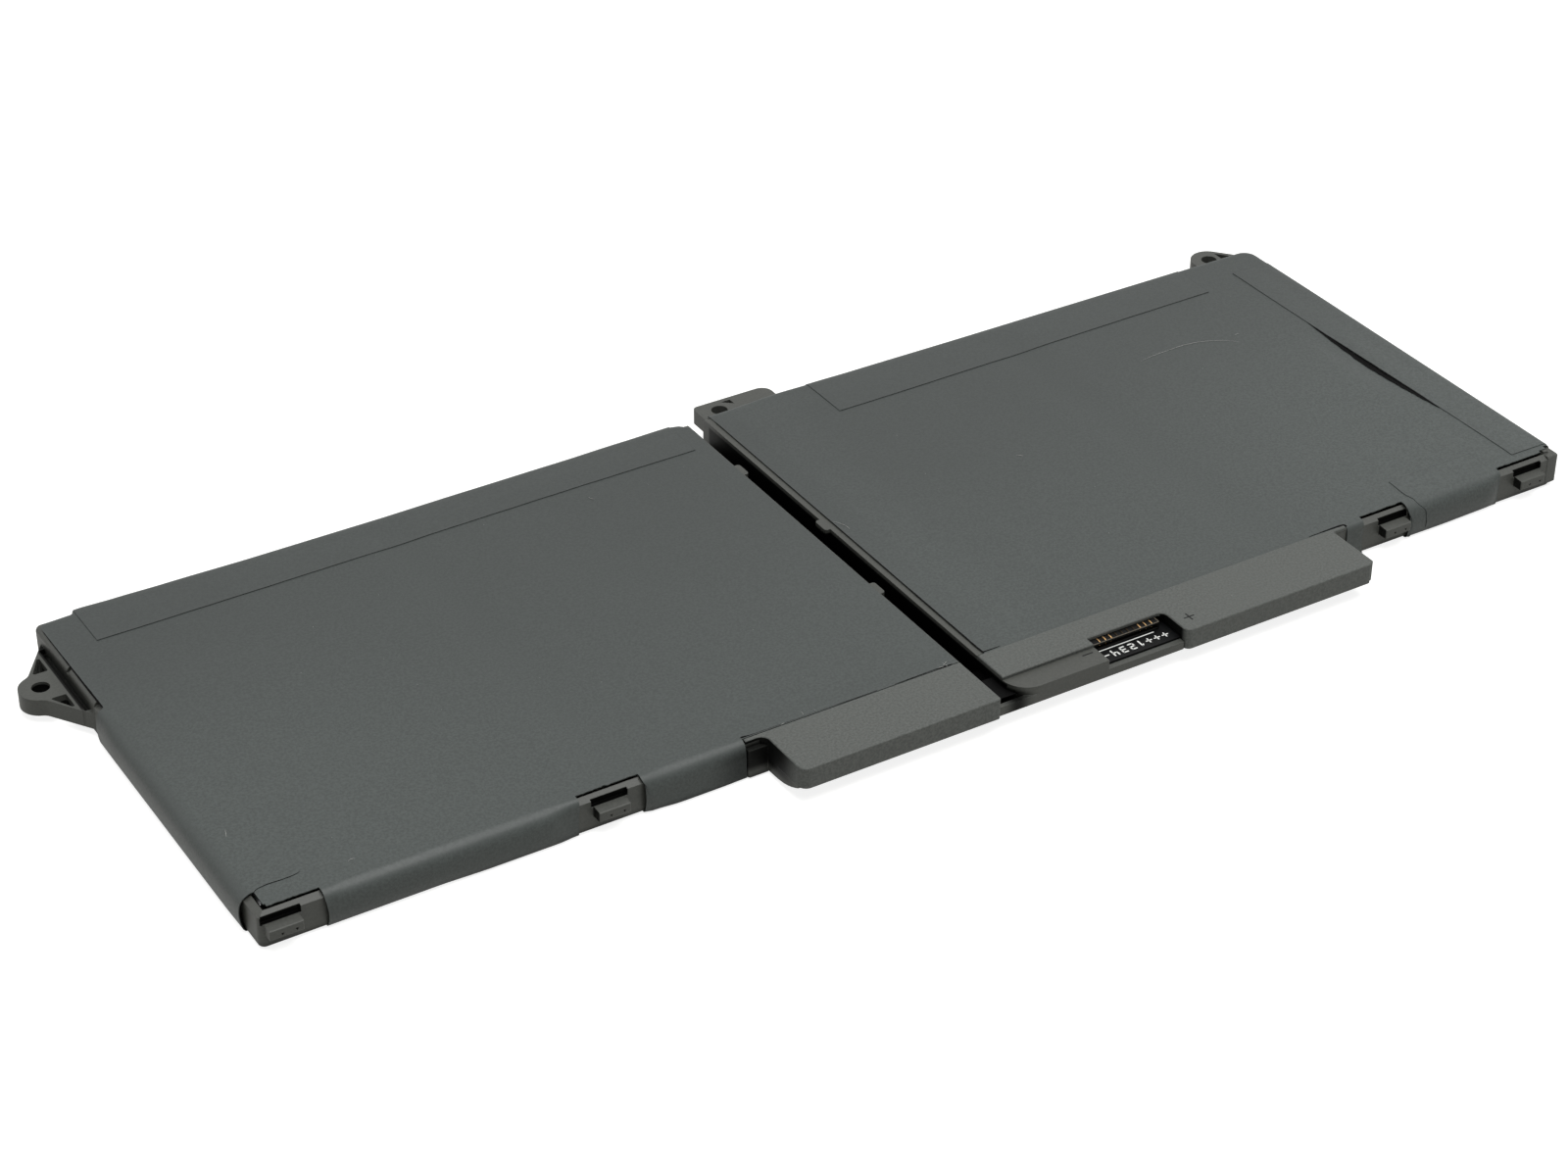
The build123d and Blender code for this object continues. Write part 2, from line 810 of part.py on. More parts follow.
def chassis_frame():
    """The one moulded frame: walls, ears, hooks, bridge, trays and lip."""
    body = pack_block(LEFT_PACK) + pack_block(RIGHT_PACK)
    body += slab(
        (SLOT_LEFT - wall_thickness / 2, SLOT_RIGHT + wall_thickness / 2),
        (FRONT + low_edge_radius, BACK - low_edge_radius),
        (FRAME_LOW, FRAME_LOW + web_thickness),
    )
    body += left_ear() + middle_tab() + right_ear()
    for pack, places in ((LEFT_PACK, nub_places_left), (RIGHT_PACK, nub_places_right)):
        for place in places:
            body += nub(pack, place)
        body -= bay_hollow(pack) + shelf_pockets(pack)
    body -= rim_slopes() + rim_notch()
    for x in hook_places():
        body -= hook_recess(x)
        body += hook(x)
    body -= board_passages()
    body += left_tray() + bridge() + lip_housing() + bay_lip() + right_tray()
    return body - cover_seats()


def cell(x):
    """Sealed pouch cell with its long sides folded round and its flat seal along the front."""
    top = FRAME_TOP - cell_top_clearance
    middle = ((x[0] + x[1]) / 2, (LEDGE_TOP + top) / 2)
    profile = RectangleRounded(x[1] - x[0], top - LEDGE_TOP, cell_edge_radius)
    body = Pos(middle[0], CELL_BACK, middle[1]) * extrude(Plane.XZ * profile, CELL_BACK - CELL_FRONT)
    seal_low = BOARD_TOP - (seal_thickness - cell_tab_thickness) / 2
    seal = slab(
        (x[0] + seal_side_inset, x[1] - seal_side_inset),
        (SEAL_FRONT, CELL_FRONT + cell_edge_radius),
        (seal_low, seal_low + seal_thickness),
    )
    return body + seal


def tab_middles(x):
    """X of the left and the right tab of a cell."""
    middle = (x[0] + x[1]) / 2
    return (middle - cell_tab_offset, middle + cell_tab_offset)


def cell_tab(middle):
    """One metal tab, from the cell's seal onto the board."""
    return slab(
        (middle - cell_tab_width / 2, middle + cell_tab_width / 2),
        (SEAL_FRONT - cell_tab_length, SEAL_FRONT),
        (BOARD_TOP, BOARD_TOP + cell_tab_thickness),
    )


def series_strip(pack):
    """Strip welded onto the neighbouring tabs of a pack's two cells."""
    first, second = pack.cells()
    half = cell_tab_width / 2 - strip_end_margin
    low = SEAL_FRONT - cell_tab_length
    z = BOARD_TOP + cell_tab_thickness
    return slab(
        (tab_middles(first)[1] - half, tab_middles(second)[0] + half),
        (low, low + strip_width),
        (z, z + strip_thickness),
    )


def board_arm(pack, start):
    """Narrow arm of a board on the shelf, from a given X to the far end of the bay."""
    low, high = pack.bay()
    return slab(
        (max(low + board_clearance, start), high - board_clearance),
        (FRONT + wall_thickness + board_clearance, SHELF_BACK),
        (TRAY_TOP, BOARD_TOP),
        board_corner_radius,
    )


def board_overlap_back():
    """Y to which a board's wide part reaches over its arm."""
    return FRONT + wall_thickness + 2 * board_corner_radius


def post_holes(x):
    """Holes in a board round the two posts of its housing."""
    y = HOUSING_FRONT + post_inset
    holes = Part()
    for place in post_places(x):
        holes += raised(disc((place, y), post_radius + post_hole_clearance), (BELOW, ABOVE))
    return holes


def terminal_board():
    """Board of the left pack: an arm under the cells' tabs and a wing in the left housing."""
    x = (
        LEFT_HOUSING_START + housing_board_margin + board_clearance,
        SLOT_LEFT - wall_thickness - board_clearance,
    )
    y = (HOUSING_FRONT + SKIRT_INSIDE + board_clearance, board_overlap_back())
    wing = slab(x, y, (TRAY_TOP, BOARD_TOP), board_corner_radius)
    board = board_arm(LEFT_PACK, LEFT + terminal_board_start) + wing
    return board - post_holes(left_tray_range())


def protection_board():
    """Main board: under the tabs of the right cells and through the whole right housing."""
    x = (
        SLOT_RIGHT + wall_thickness + board_clearance,
        RIGHT_HOUSING_END - housing_board_margin - board_clearance,
    )
    y = (bay_lip_back() + board_clearance, board_overlap_back())
    plan = outline([(x[0], y[0]), (x[1], y[0]), (x[1], y[1]), (x[0], y[1])])
    plan = round_corner(plan, (x[0], y[0]), lip_corner_radius - lip_wall)
    board = board_arm(RIGHT_PACK, SLOT_RIGHT) + raised(plan, (TRAY_TOP, BOARD_TOP))
    return board - post_holes(right_tray_range())


def link_strip():
    """Flat strip that carries current from the terminal board to the main board."""
    x = (SLOT_LEFT - link_lap, SLOT_RIGHT + link_lap)
    return slab(x, link_range(), (BOARD_TOP, BOARD_TOP + link_thickness))


def connector_range():
    """X range of the connector housing, which reaches under the cover at the left."""
    start = BAY_LEFT - connector_bay_overlap
    return (start, start + connector_length)


def connector_front():
    """Y of the connector's face."""
    return BAY_BACK - connector_from_bay_back


def connector_housing():
    """Low connector with an open mouth towards the bay."""
    x = connector_range()
    front = connector_front()
    body = slab(x, (front, front + connector_depth), (BOARD_TOP, BOARD_TOP + connector_height))
    mouth = slab(
        (x[0] + connector_wall, x[1] - connector_wall),
        (front - overcut, front + connector_depth - 2 * connector_wall),
        (BOARD_TOP + connector_wall, BOARD_TOP + connector_height - connector_wall),
    )
    return body - mouth


def connector_contacts():
    """Row of spring contacts in the connector's mouth, each bent up at its tip."""
    low = BOARD_TOP + connector_wall
    back = connector_front() + connector_depth - 2 * connector_wall
    front = connector_front() + connector_wall
    high = low + contact_height - connector_wall
    profile = Plane.YZ * outline([
        (back, low),
        (back, low + contact_width),
        (front + contact_foot, low + contact_width),
        (front, high),
        (front, high - contact_width / 2),
        (front + contact_foot / 2, low),
    ])
    row = []
    start = connector_range()[0] + contact_end_margin
    for index in range(contact_count):
        x = start + index * contact_pitch - contact_width / 2
        row.append(Pos(x, 0, 0) * extrude(profile, contact_width))
    return Compound(children=row)


def chip(size, x, y):
    """Small board component with its middle at x, y."""
    body = Box(*size, align=(Align.CENTER, Align.CENTER, Align.MIN))
    return Pos(x, y, BOARD_TOP) * body


def board_components():
    """Name and solid of each component on the two boards."""
    row = (
        ("charge_transistor", transistor_size),
        ("discharge_transistor", transistor_size),
        ("gauge_chip", gauge_size),
        ("sense_resistor", resistor_size),
    )
    y = FRONT - component_row
    length = sum(size[0] + component_spacing for name, size in row) - component_spacing
    x = sum(post_places(right_tray_range())) / 2 - length / 2
    parts = {}
    for name, size in row:
        parts[name] = chip(size, x + size[0] / 2, y)
        x += size[0] + component_spacing
    parts["fuse"] = chip(fuse_size, BAY_LEFT - fuse_from_bay, y)
    arm_middle = (FRONT + wall_thickness + SHELF_BACK) / 2
    parts["thermistor"] = chip(thermistor_size, sum(LEFT_PACK.cells()[1]) / 2, arm_middle)
    return parts


def cell_pads(pack):
    """Foam pads between a pack's cells and its bottom sheet."""
    inset = ledge_width + pad_clearance
    pads = []
    for low, high in pack.cells():
        pads.append(slab(
            (low + inset, high - inset),
            (SHELF_BACK + inset, BACK - wall_thickness - inset),
            (film_thickness, LEDGE_TOP),
            pad_corner_radius,
        ))
    return Compound(children=pads)


def bottom_sheet(pack):
    """Plain sheet that closes a pack from below, inside the film's turned edge."""
    inset = film_lap + film_gap
    x = span(pack.from_outer(inset), pack.from_slot(film_slot_inset_right))
    return slab(x, (FRONT + inset, BACK - inset), (0, film_thickness), bay_corner_radius)


def film_openings(pack):
    """Everything cut out of a pack's film: bottom field, housing edge, windows and ears."""
    beyond_slot = pack.from_slot(-overcut)
    cuts = slab(
        span(pack.from_outer(film_lap), beyond_slot),
        (FRONT + film_lap, BACK - film_lap),
        (BELOW, LEDGE_TOP),
    )
    if pack is LEFT_PACK:
        edge = pack.from_slot(film_slot_inset_left)
        housing = (LEFT_HOUSING_START - cover_wing - film_gap, SLOT_LEFT + overcut)
    else:
        edge = pack.from_slot(film_slot_inset_right)
        housing = (SLOT_RIGHT - overcut, RIGHT_HOUSING_END + cover_wing + film_gap)
    cuts += slab(span(edge, beyond_slot), (FRONT - overcut, BACK + overcut), (BELOW, ABOVE))
    cuts += slab(housing, (FRONT - overcut, FRONT + cover_lap + film_gap), (BELOW, ABOVE))
    cuts += corner_window(pack) + inner_hook_window(pack)
    return cuts


def corner_window(pack):
    """Window of a film at the hook in the pack's outer front corner."""
    if pack is LEFT_PACK:
        length, side = corner_window_length, corner_window_side
    else:
        length, side = right_window_length, right_window_side
    outside = pack.from_outer(-overcut)
    z = (BELOW, ABOVE)
    front_x = span(outside, pack.from_outer(length))
    flank_x = span(outside, pack.from_outer(window_depth))
    front = slab(front_x, (FRONT - overcut, FRONT + window_depth), z)
    return front + slab(flank_x, (FRONT - overcut, FRONT + side), z)


def inner_hook_window(pack):
    """Window of a film at the hook away from the corner."""
    if pack is LEFT_PACK:
        x = hook_places()[1]
        reach = (hook_window_near, hook_window_far)
    else:
        x = hook_places()[2]
        reach = (hook_window_right_near, hook_window_right_far)
    return slab((x - reach[0], x + reach[1]), (FRONT - overcut, FRONT + window_depth), (BELOW, ABOVE))


def ear_openings():
    """Room in the films' edges for the ears, the bare rim at the left ear included."""
    rim = slab(
        (LEFT - overcut, LEFT + rim_window_width),
        (FRONT + rim_window_start, BACK + overcut),
        (BELOW, ABOVE),
    )
    low, high = back_ear_heights()
    z = (low - film_gap, high + film_gap)
    y = (BACK - film_gap, BACK + overcut)
    start = SLOT_RIGHT + tab_start - film_gap
    tab = slab((start, start + tab_length + 2 * film_gap), y, z)
    hole = right_ear_hole()
    ear = slab((hole[0] - right_ear_radius - film_gap, RIGHT - corner_radius), y, z)
    return rim + tab + ear


def film(pack):
    """Film over the top of a pack, down its walls and turned in under it."""
    wrap = pack_block(pack, film_thickness) - pack_block(pack)
    wrap = wrap - film_openings(pack) - ear_openings()
    return wrap.solids().sort_by(SortBy.VOLUME)[-1]


def tape(pack, x, y):
    """Tape strip on a film that wraps over the edge of the pack."""
    wrap = pack_block(pack, film_thickness + tape_thickness) - pack_block(pack, film_thickness)
    region = slab(x, y, (tape_skirt_rise, ABOVE))
    strip = (wrap & region) - ear_openings()
    return strip.solids().sort_by(SortBy.VOLUME)[-1]


def tapes():
    """Name and solid of each tape strip."""
    back = (BACK - back_tape_depth, BACK + overcut)
    left_start = LEFT + left_back_tape_start
    right_start = SLOT_RIGHT + right_back_tape_start
    side_start = FRONT + side_tape_start
    front_end = RIGHT - front_tape_from_end
    return {
        "left_back_tape": tape(LEFT_PACK, (left_start, left_start + left_back_tape_length), back),
        "right_back_tape": tape(RIGHT_PACK, (right_start, right_start + right_back_tape_length), back),
        "right_side_tape": tape(
            RIGHT_PACK,
            (RIGHT - side_tape_width, RIGHT + overcut),
            (side_start, side_start + side_tape_length),
        ),
        "right_front_tape": tape(
            RIGHT_PACK,
            (front_end - front_tape_start, front_end),
            (FRONT - overcut, FRONT + front_tape_depth),
        ),
    }


def pack_pieces(pack, first_number):
    """Cells, tabs, strips, pads, film and bottom sheet of one pack."""
    pieces = {}
    for number, x in enumerate(pack.cells(), start=first_number):
        pieces[f"cell_{number}"] = cell(x)
        for polarity, middle in zip(("negative", "positive"), tab_middles(x)):
            pieces[f"cell_{number}_{polarity}_tab"] = cell_tab(middle)
    pieces[f"{pack.name}_series_strip"] = series_strip(pack)
    pieces[f"{pack.name}_cell_pads"] = cell_pads(pack)
    pieces[f"{pack.name}_film"] = film(pack)
    pieces[f"{pack.name}_bottom_sheet"] = bottom_sheet(pack)
    return pieces


def battery():
    """Every piece of the battery by name."""
    pieces = {
        "chassis_frame": chassis_frame(),
        "left_terminal_cover": left_cover(),
        "board_cover": board_cover(),
        "left_terminal_board": terminal_board(),
        "protection_board": protection_board(),
        "link_strip": link_strip(),
        "connector_housing": connector_housing(),
        "connector_contacts": connector_contacts(),
    }
    pieces.update(board_components())
    pieces.update(pack_pieces(LEFT_PACK, 1))
    pieces.update(pack_pieces(RIGHT_PACK, 3))
    pieces.update(tapes())
    return pieces


def main():
    os.makedirs("parts", exist_ok=True)
    for name, piece in battery().items():
        export_step(piece, f"parts/{name}.step")


main()
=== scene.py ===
"""Dressed model of a flat laptop battery: films, tapes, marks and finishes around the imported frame."""

import logging
import math
import random
from dataclasses import dataclass, field
from enum import Enum
from typing import Iterable, Optional, Sequence, Union

import bmesh
import bpy
from mathutils import Matrix, Vector, noise


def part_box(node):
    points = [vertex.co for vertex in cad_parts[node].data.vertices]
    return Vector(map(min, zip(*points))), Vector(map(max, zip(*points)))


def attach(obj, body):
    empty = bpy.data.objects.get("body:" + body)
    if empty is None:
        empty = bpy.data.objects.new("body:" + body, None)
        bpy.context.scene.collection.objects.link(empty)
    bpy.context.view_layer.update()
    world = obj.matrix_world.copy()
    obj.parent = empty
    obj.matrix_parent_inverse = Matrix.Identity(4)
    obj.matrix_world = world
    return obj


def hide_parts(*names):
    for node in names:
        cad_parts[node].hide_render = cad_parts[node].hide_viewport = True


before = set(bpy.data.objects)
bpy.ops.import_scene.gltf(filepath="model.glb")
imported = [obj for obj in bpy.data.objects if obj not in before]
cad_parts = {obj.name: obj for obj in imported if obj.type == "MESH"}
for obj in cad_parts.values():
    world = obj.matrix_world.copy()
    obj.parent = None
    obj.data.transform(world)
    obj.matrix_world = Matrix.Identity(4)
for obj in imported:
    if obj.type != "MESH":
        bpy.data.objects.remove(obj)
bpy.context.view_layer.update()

MM = 0.001
TOP_ZONE = 5 * MM
WELD_DISTANCE = 0.004
LEDGE_STEP = 0.6
WHITE = (1.0, 1.0, 1.0)
LOG = logging.getLogger("battery")

Number = Union[int, float]
Pair = tuple[float, float]
Triple = tuple[float, float, float]
Colour = Triple
Piece = bpy.types.Object
Socket = bpy.types.NodeSocket
Material = bpy.types.Material


# Small helpers for shapes


def ease(value: float, low: float, high: float) -> float:
    """Smooth rise from 0 at one limit to 1 at the other."""
    share = min(max((value - low) / (high - low), 0.0), 1.0)
    return share * share * (3 - 2 * share)


def mound(value: float, centre: float, half_width: float) -> float:
    """Smooth hump of height 1 about a centre, 0 beyond its half width."""
    return 1 - ease(abs(value - centre), 0.0, half_width)


def ripple(x: float, y: float, scale: float, seed: float) -> float:
    """Soft unevenness between about -1 and 1.

    Args:
        x, y: Place in millimetres.
        scale: Waves for each millimetre.
        seed: Offset that picks another pattern.

    Returns:
        The value of the pattern at that place.
    """
    return noise.noise(Vector((x * scale, y * scale, seed)))


def fold_wear(along: float) -> float:
    """Paleness of a film at a distance down its turn over an edge."""
    return mound(along, 1.7, 1.5)


def spaced(low: float, high: float, count: int) -> list[float]:
    """Both limits and the places between them that make equal gaps of the given number."""
    return [low + (high - low) * index / count for index in range(count + 1)]


def steps(low: float, high: float, step: float, marks: Iterable[float] = ()) -> list[float]:
    """Rising positions between two limits, with exact marks among even steps.

    Args:
        low, high: First and last position.
        step: Wanted distance between neighbours.
        marks: Positions that have to be in the list.

    Returns:
        The positions, none nearer than a quarter step to a mark.
    """
    kept = sorted({low, high, *(mark for mark in marks if low < mark < high)})
    found = [low]
    for start, end in zip(kept, kept[1:]):
        found += spaced(start, end, max(1, round((end - start) / step)))[1:]
    return found


def box(node: str) -> tuple[Vector, Vector]:
    """Lowest and highest corner of a CAD node, in millimetres."""
    low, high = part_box(node)
    return low / MM, high / MM


@dataclass(frozen=True)
class Stations:
    """A value that changes smoothly from one station to the next along a line.

    Attributes:
        stops: Place and value of each station.
    """

    stops: tuple[Pair, ...]

    def at(self, place: float) -> float:
        """Value at a place, held level beyond the first and last stations.

        Args:
            place: Place along the line.

        Returns:
            The value there.
        """
        if place <= self.stops[0][0]:
            return self.stops[0][1]
        for (start, first), (end, second) in zip(self.stops, self.stops[1:]):
            if place <= end:
                return first + (second - first) * ease(place, start, end)
        return self.stops[-1][1]


def level(value: float) -> Stations:
    """The same value everywhere."""
    return Stations(((0.0, value),))


@dataclass
class Patch:
    """Points in millimetres, the faces between them and a wear value for each point."""

    points: list[Vector] = field(default_factory=list)
    faces: list[tuple[int, ...]] = field(default_factory=list)
    wear: list[float] = field(default_factory=list)

    def add(self, point: Sequence[float], wear: float = 0.0) -> int:
        """Add a point.

        Args:
            point: X, Y and Z.
            wear: Its wear.

        Returns:
            Its number.
        """
        self.points.append(Vector(point))
        self.wear.append(wear)
        return len(self.points) - 1

    def row(self, points: Iterable[Sequence[float]]) -> list[int]:
        """Add several points and return their numbers."""
        return [self.add(point) for point in points]

    def join(self, one: Sequence[int], other: Sequence[int], open_at: frozenset[int] = frozenset()) -> None:
        """Put faces between two rows of points.

        Args:
            one, other: Rows with as many points each.
            open_at: Numbers of the gaps in the rows that stay without a face.
        """
        for index in range(len(one) - 1):
            if index in open_at:
                continue
            corners = (one[index], one[index + 1], other[index + 1], other[index])
            unique = tuple(dict.fromkeys(corners))
            if len(unique) > 2:
                self.faces.append(unique)

    def sheet(self, rows: Sequence[Sequence[int]]) -> None:
        """Put faces between each row of points and the next."""
        for one, other in zip(rows, rows[1:]):
            self.join(one, other)

    def loft(self, rings: Sequence[list[int]]) -> None:
        """Add the sides and both ends of a closed body.

        Args:
            rings: Rows of points around it, from one end to the other.
        """
        self.sheet([ring + ring[:1] for ring in rings])
        self.faces += [tuple(reversed(rings[0])), tuple(rings[-1])]

    def prism(self, plan: Sequence[Pair], low: float, high: float) -> None:
        """Add a closed upright prism on a plan outline that runs anticlockwise.

        Args:
            plan: X and Y of its corners.
            low, high: Heights of its ends.
        """
        self.loft([self.row((x, y, z) for x, y in plan) for z in (low, high)])

    def tube(self, path: Sequence[Vector], radius: float, sides: int = 5) -> None:
        """Add a thin closed tube that tapers to both ends of a path.

        Args:
            path: Points of its middle line.
            radius: Radius half way along it.
            sides: Corners of its section.
        """
        rings = []
        for index, point in enumerate(path):
            before = path[max(index - 1, 0)]
            after = path[min(index + 1, len(path) - 1)]
            along = (after - before).normalized()
            across = along.cross(Vector((0.0, 0.0, 1.0))).normalized()
            above = across.cross(along)
            share = index / (len(path) - 1)
            size = radius * (0.35 + 0.65 * math.sin(math.pi * share))
            turns = [2 * math.pi * corner / sides for corner in range(sides)]
            rings.append(self.row(
                point + across * (size * math.cos(turn)) + above * (size * math.sin(turn)) for turn in turns
            ))
        self.loft(rings)


class Bench:
    """Turns patches into finished pieces that ride on the battery."""

    @staticmethod
    def mesh(name: str, patch: Patch, facing_up: bool = False, merged: float = 0.0) -> Piece:
        """Make a mesh object from a patch.

        Args:
            name: Name of the piece.
            patch: Its points and faces, in millimetres.
            facing_up: True for an open sheet, whose top looks up.
            merged: Distance up to which points become one, in millimetres.

        Returns:
            The new object, at the origin.
        """
        mesh = bpy.data.meshes.new(name)
        mesh.from_pydata([point * MM for point in patch.points], [], patch.faces)
        layer = mesh.attributes.new("wear", "FLOAT", "POINT")
        layer.data.foreach_set("value", patch.wear)
        build = bmesh.new()
        build.from_mesh(mesh)
        loose = [point for point in build.verts if not point.link_faces]
        bmesh.ops.delete(build, geom=loose, context="VERTS")
        if merged:
            bmesh.ops.remove_doubles(build, verts=build.verts, dist=merged * MM)
        bmesh.ops.recalc_face_normals(build, faces=build.faces)
        build.normal_update()
        tops = [face for face in build.faces if facing_up and face.calc_center_median().z > TOP_ZONE]
        if sum(face.normal.z * face.calc_area() for face in tops) < 0:
            bmesh.ops.reverse_faces(build, faces=build.faces)
        build.to_mesh(mesh)
        build.free()
        return Bench.place(name, mesh)

    @staticmethod
    def place(name: str, data: bpy.types.ID) -> Piece:
        """Make an object at the origin.

        Args:
            name: Its name.
            data: The mesh, lamp or camera.

        Returns:
            The object.
        """
        item = bpy.data.objects.new(name, data)
        bpy.context.scene.collection.objects.link(item)
        return item

    @staticmethod
    def thicken(item: Piece, thickness: float) -> None:
        """Give an open sheet a wall below its faces.

        Args:
            item: The sheet.
            thickness: Of the wall, in millimetres.
        """
        wall = item.modifiers.new("wall", "SOLIDIFY")
        wall.thickness = thickness * MM
        wall.offset = -1.0
        Bench.settle(item)

    @staticmethod
    def settle(item: Piece) -> None:
        """Turn an object with modifiers into a plain mesh.

        Args:
            item: The object.
        """
        bpy.context.view_layer.update()
        graph = bpy.context.evaluated_depsgraph_get()
        shape = item.evaluated_get(graph)
        mesh = bpy.data.meshes.new_from_object(shape, preserve_all_data_layers=True, depsgraph=graph)
        item.modifiers.clear()
        item.data = mesh

    @staticmethod
    def finish(
        item: Piece, material: Material, slot: str, replaces: Sequence[str] = (), smooth: bool = True,
        sharp_degrees: float = 35.0,
    ) -> None:
        """Dress a piece, put it on the battery and report it.

        Args:
            item: The piece.
            material: Its finish.
            slot: The record's material slot.
            replaces: CAD nodes that the piece stands for.
            smooth: True for smooth shading.
            sharp_degrees: Angle from which an edge stays sharp.
        """
        item.data.materials.clear()
        item.data.materials.append(material)
        item.data.shade_smooth() if smooth else item.data.shade_flat()
        if smooth:
            item.data.set_sharp_from_angle(angle=math.radians(sharp_degrees))
        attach(item, "root")
        if replaces:
            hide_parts(*replaces)
        LOG.info("%s: %d faces, slot %s", item.name, len(item.data.polygons), slot)


# Node trees


Term = Union["Signal", Number]


@dataclass(frozen=True)
class Signal:
    """A number in a shader tree; arithmetic on it adds the tree's Math nodes."""

    owner: "Tree"
    socket: Socket

    def apply(self, operation: str, one: Term, other: Optional[Term] = None) -> "Signal":
        """Add a Math node for an operation on one or two values."""
        inputs = {0: one} if other is None else {0: one, 1: other}
        return Signal(self.owner, self.owner.node("ShaderNodeMath", {"operation": operation}, inputs).outputs[0])

    def __add__(self, other: Term) -> "Signal":
        """Sum."""
        return self.apply("ADD", self, other)

    def __radd__(self, other: Number) -> "Signal":
        """Sum with a number first."""
        return self.apply("ADD", other, self)

    def __sub__(self, other: Term) -> "Signal":
        """Difference."""
        return self.apply("SUBTRACT", self, other)

    def __rsub__(self, other: Number) -> "Signal":
        """Difference from a number."""
        return self.apply("SUBTRACT", other, self)

    def __mul__(self, other: Term) -> "Signal":
        """Product."""
        return self.apply("MULTIPLY", self, other)

    def __rmul__(self, other: Number) -> "Signal":
        """Product with a number first."""
        return self.apply("MULTIPLY", other, self)

    def __lt__(self, other: Term) -> "Signal":
        """1 where this is the lesser."""
        return self.apply("LESS_THAN", self, other)

    def __abs__(self) -> "Signal":
        """Size without its sign."""
        return self.apply("ABSOLUTE", self)

    def most(self, other: Term) -> "Signal":
        """The greater of the two."""
        return self.apply("MAXIMUM", self, other)

    def between(self, low: float, high: float) -> "Signal":
        """Smooth 0-to-1 rise between two values.

        Args:
            low, high: The values.

        Returns:
            The rise.
        """
        settings = {"interpolation_type": "SMOOTHSTEP", "clamp": True}
        inputs = {"Value": self, "From Min": low, "From Max": high}
        return Signal(self.owner, self.owner.node("ShaderNodeMapRange", settings, inputs).outputs["Result"])


Value = Union[Signal, Socket, bpy.types.ID, Number, Sequence[float]]


class Tree:
    """Adds nodes to a node tree."""

    def __init__(self, tree: bpy.types.NodeTree) -> None:
        """Take the tree."""
        self.tree = tree

    def node(
        self, kind: str, settings: Optional[dict[str, object]] = None,
        inputs: Optional[dict[Union[str, int], Value]] = None,
    ) -> bpy.types.Node:
        """Add a node.

        Args:
            kind: Its type.
            settings: Properties, set first.
            inputs: Values or links of its sockets, by name or number.

        Returns:
            The node.
        """
        made = self.tree.nodes.new(kind)
        for key, value in (settings or {}).items():
            setattr(made, key, value)
        for key, value in (inputs or {}).items():
            self.feed(made.inputs[key], value)
        return made

    def feed(self, socket: Socket, value: Value) -> None:
        """Link a signal or a socket, or set a plain value.

        Args:
            socket: Input of a node.
            value: What it gets.
        """
        if isinstance(value, Signal):
            self.tree.links.new(value.socket, socket)
        elif isinstance(value, Socket):
            self.tree.links.new(value, socket)
        elif isinstance(value, (int, float, bpy.types.ID)):
            socket.default_value = value
        else:
            socket.default_value = (*value, 1.0) if socket.type == "RGBA" else tuple(value)


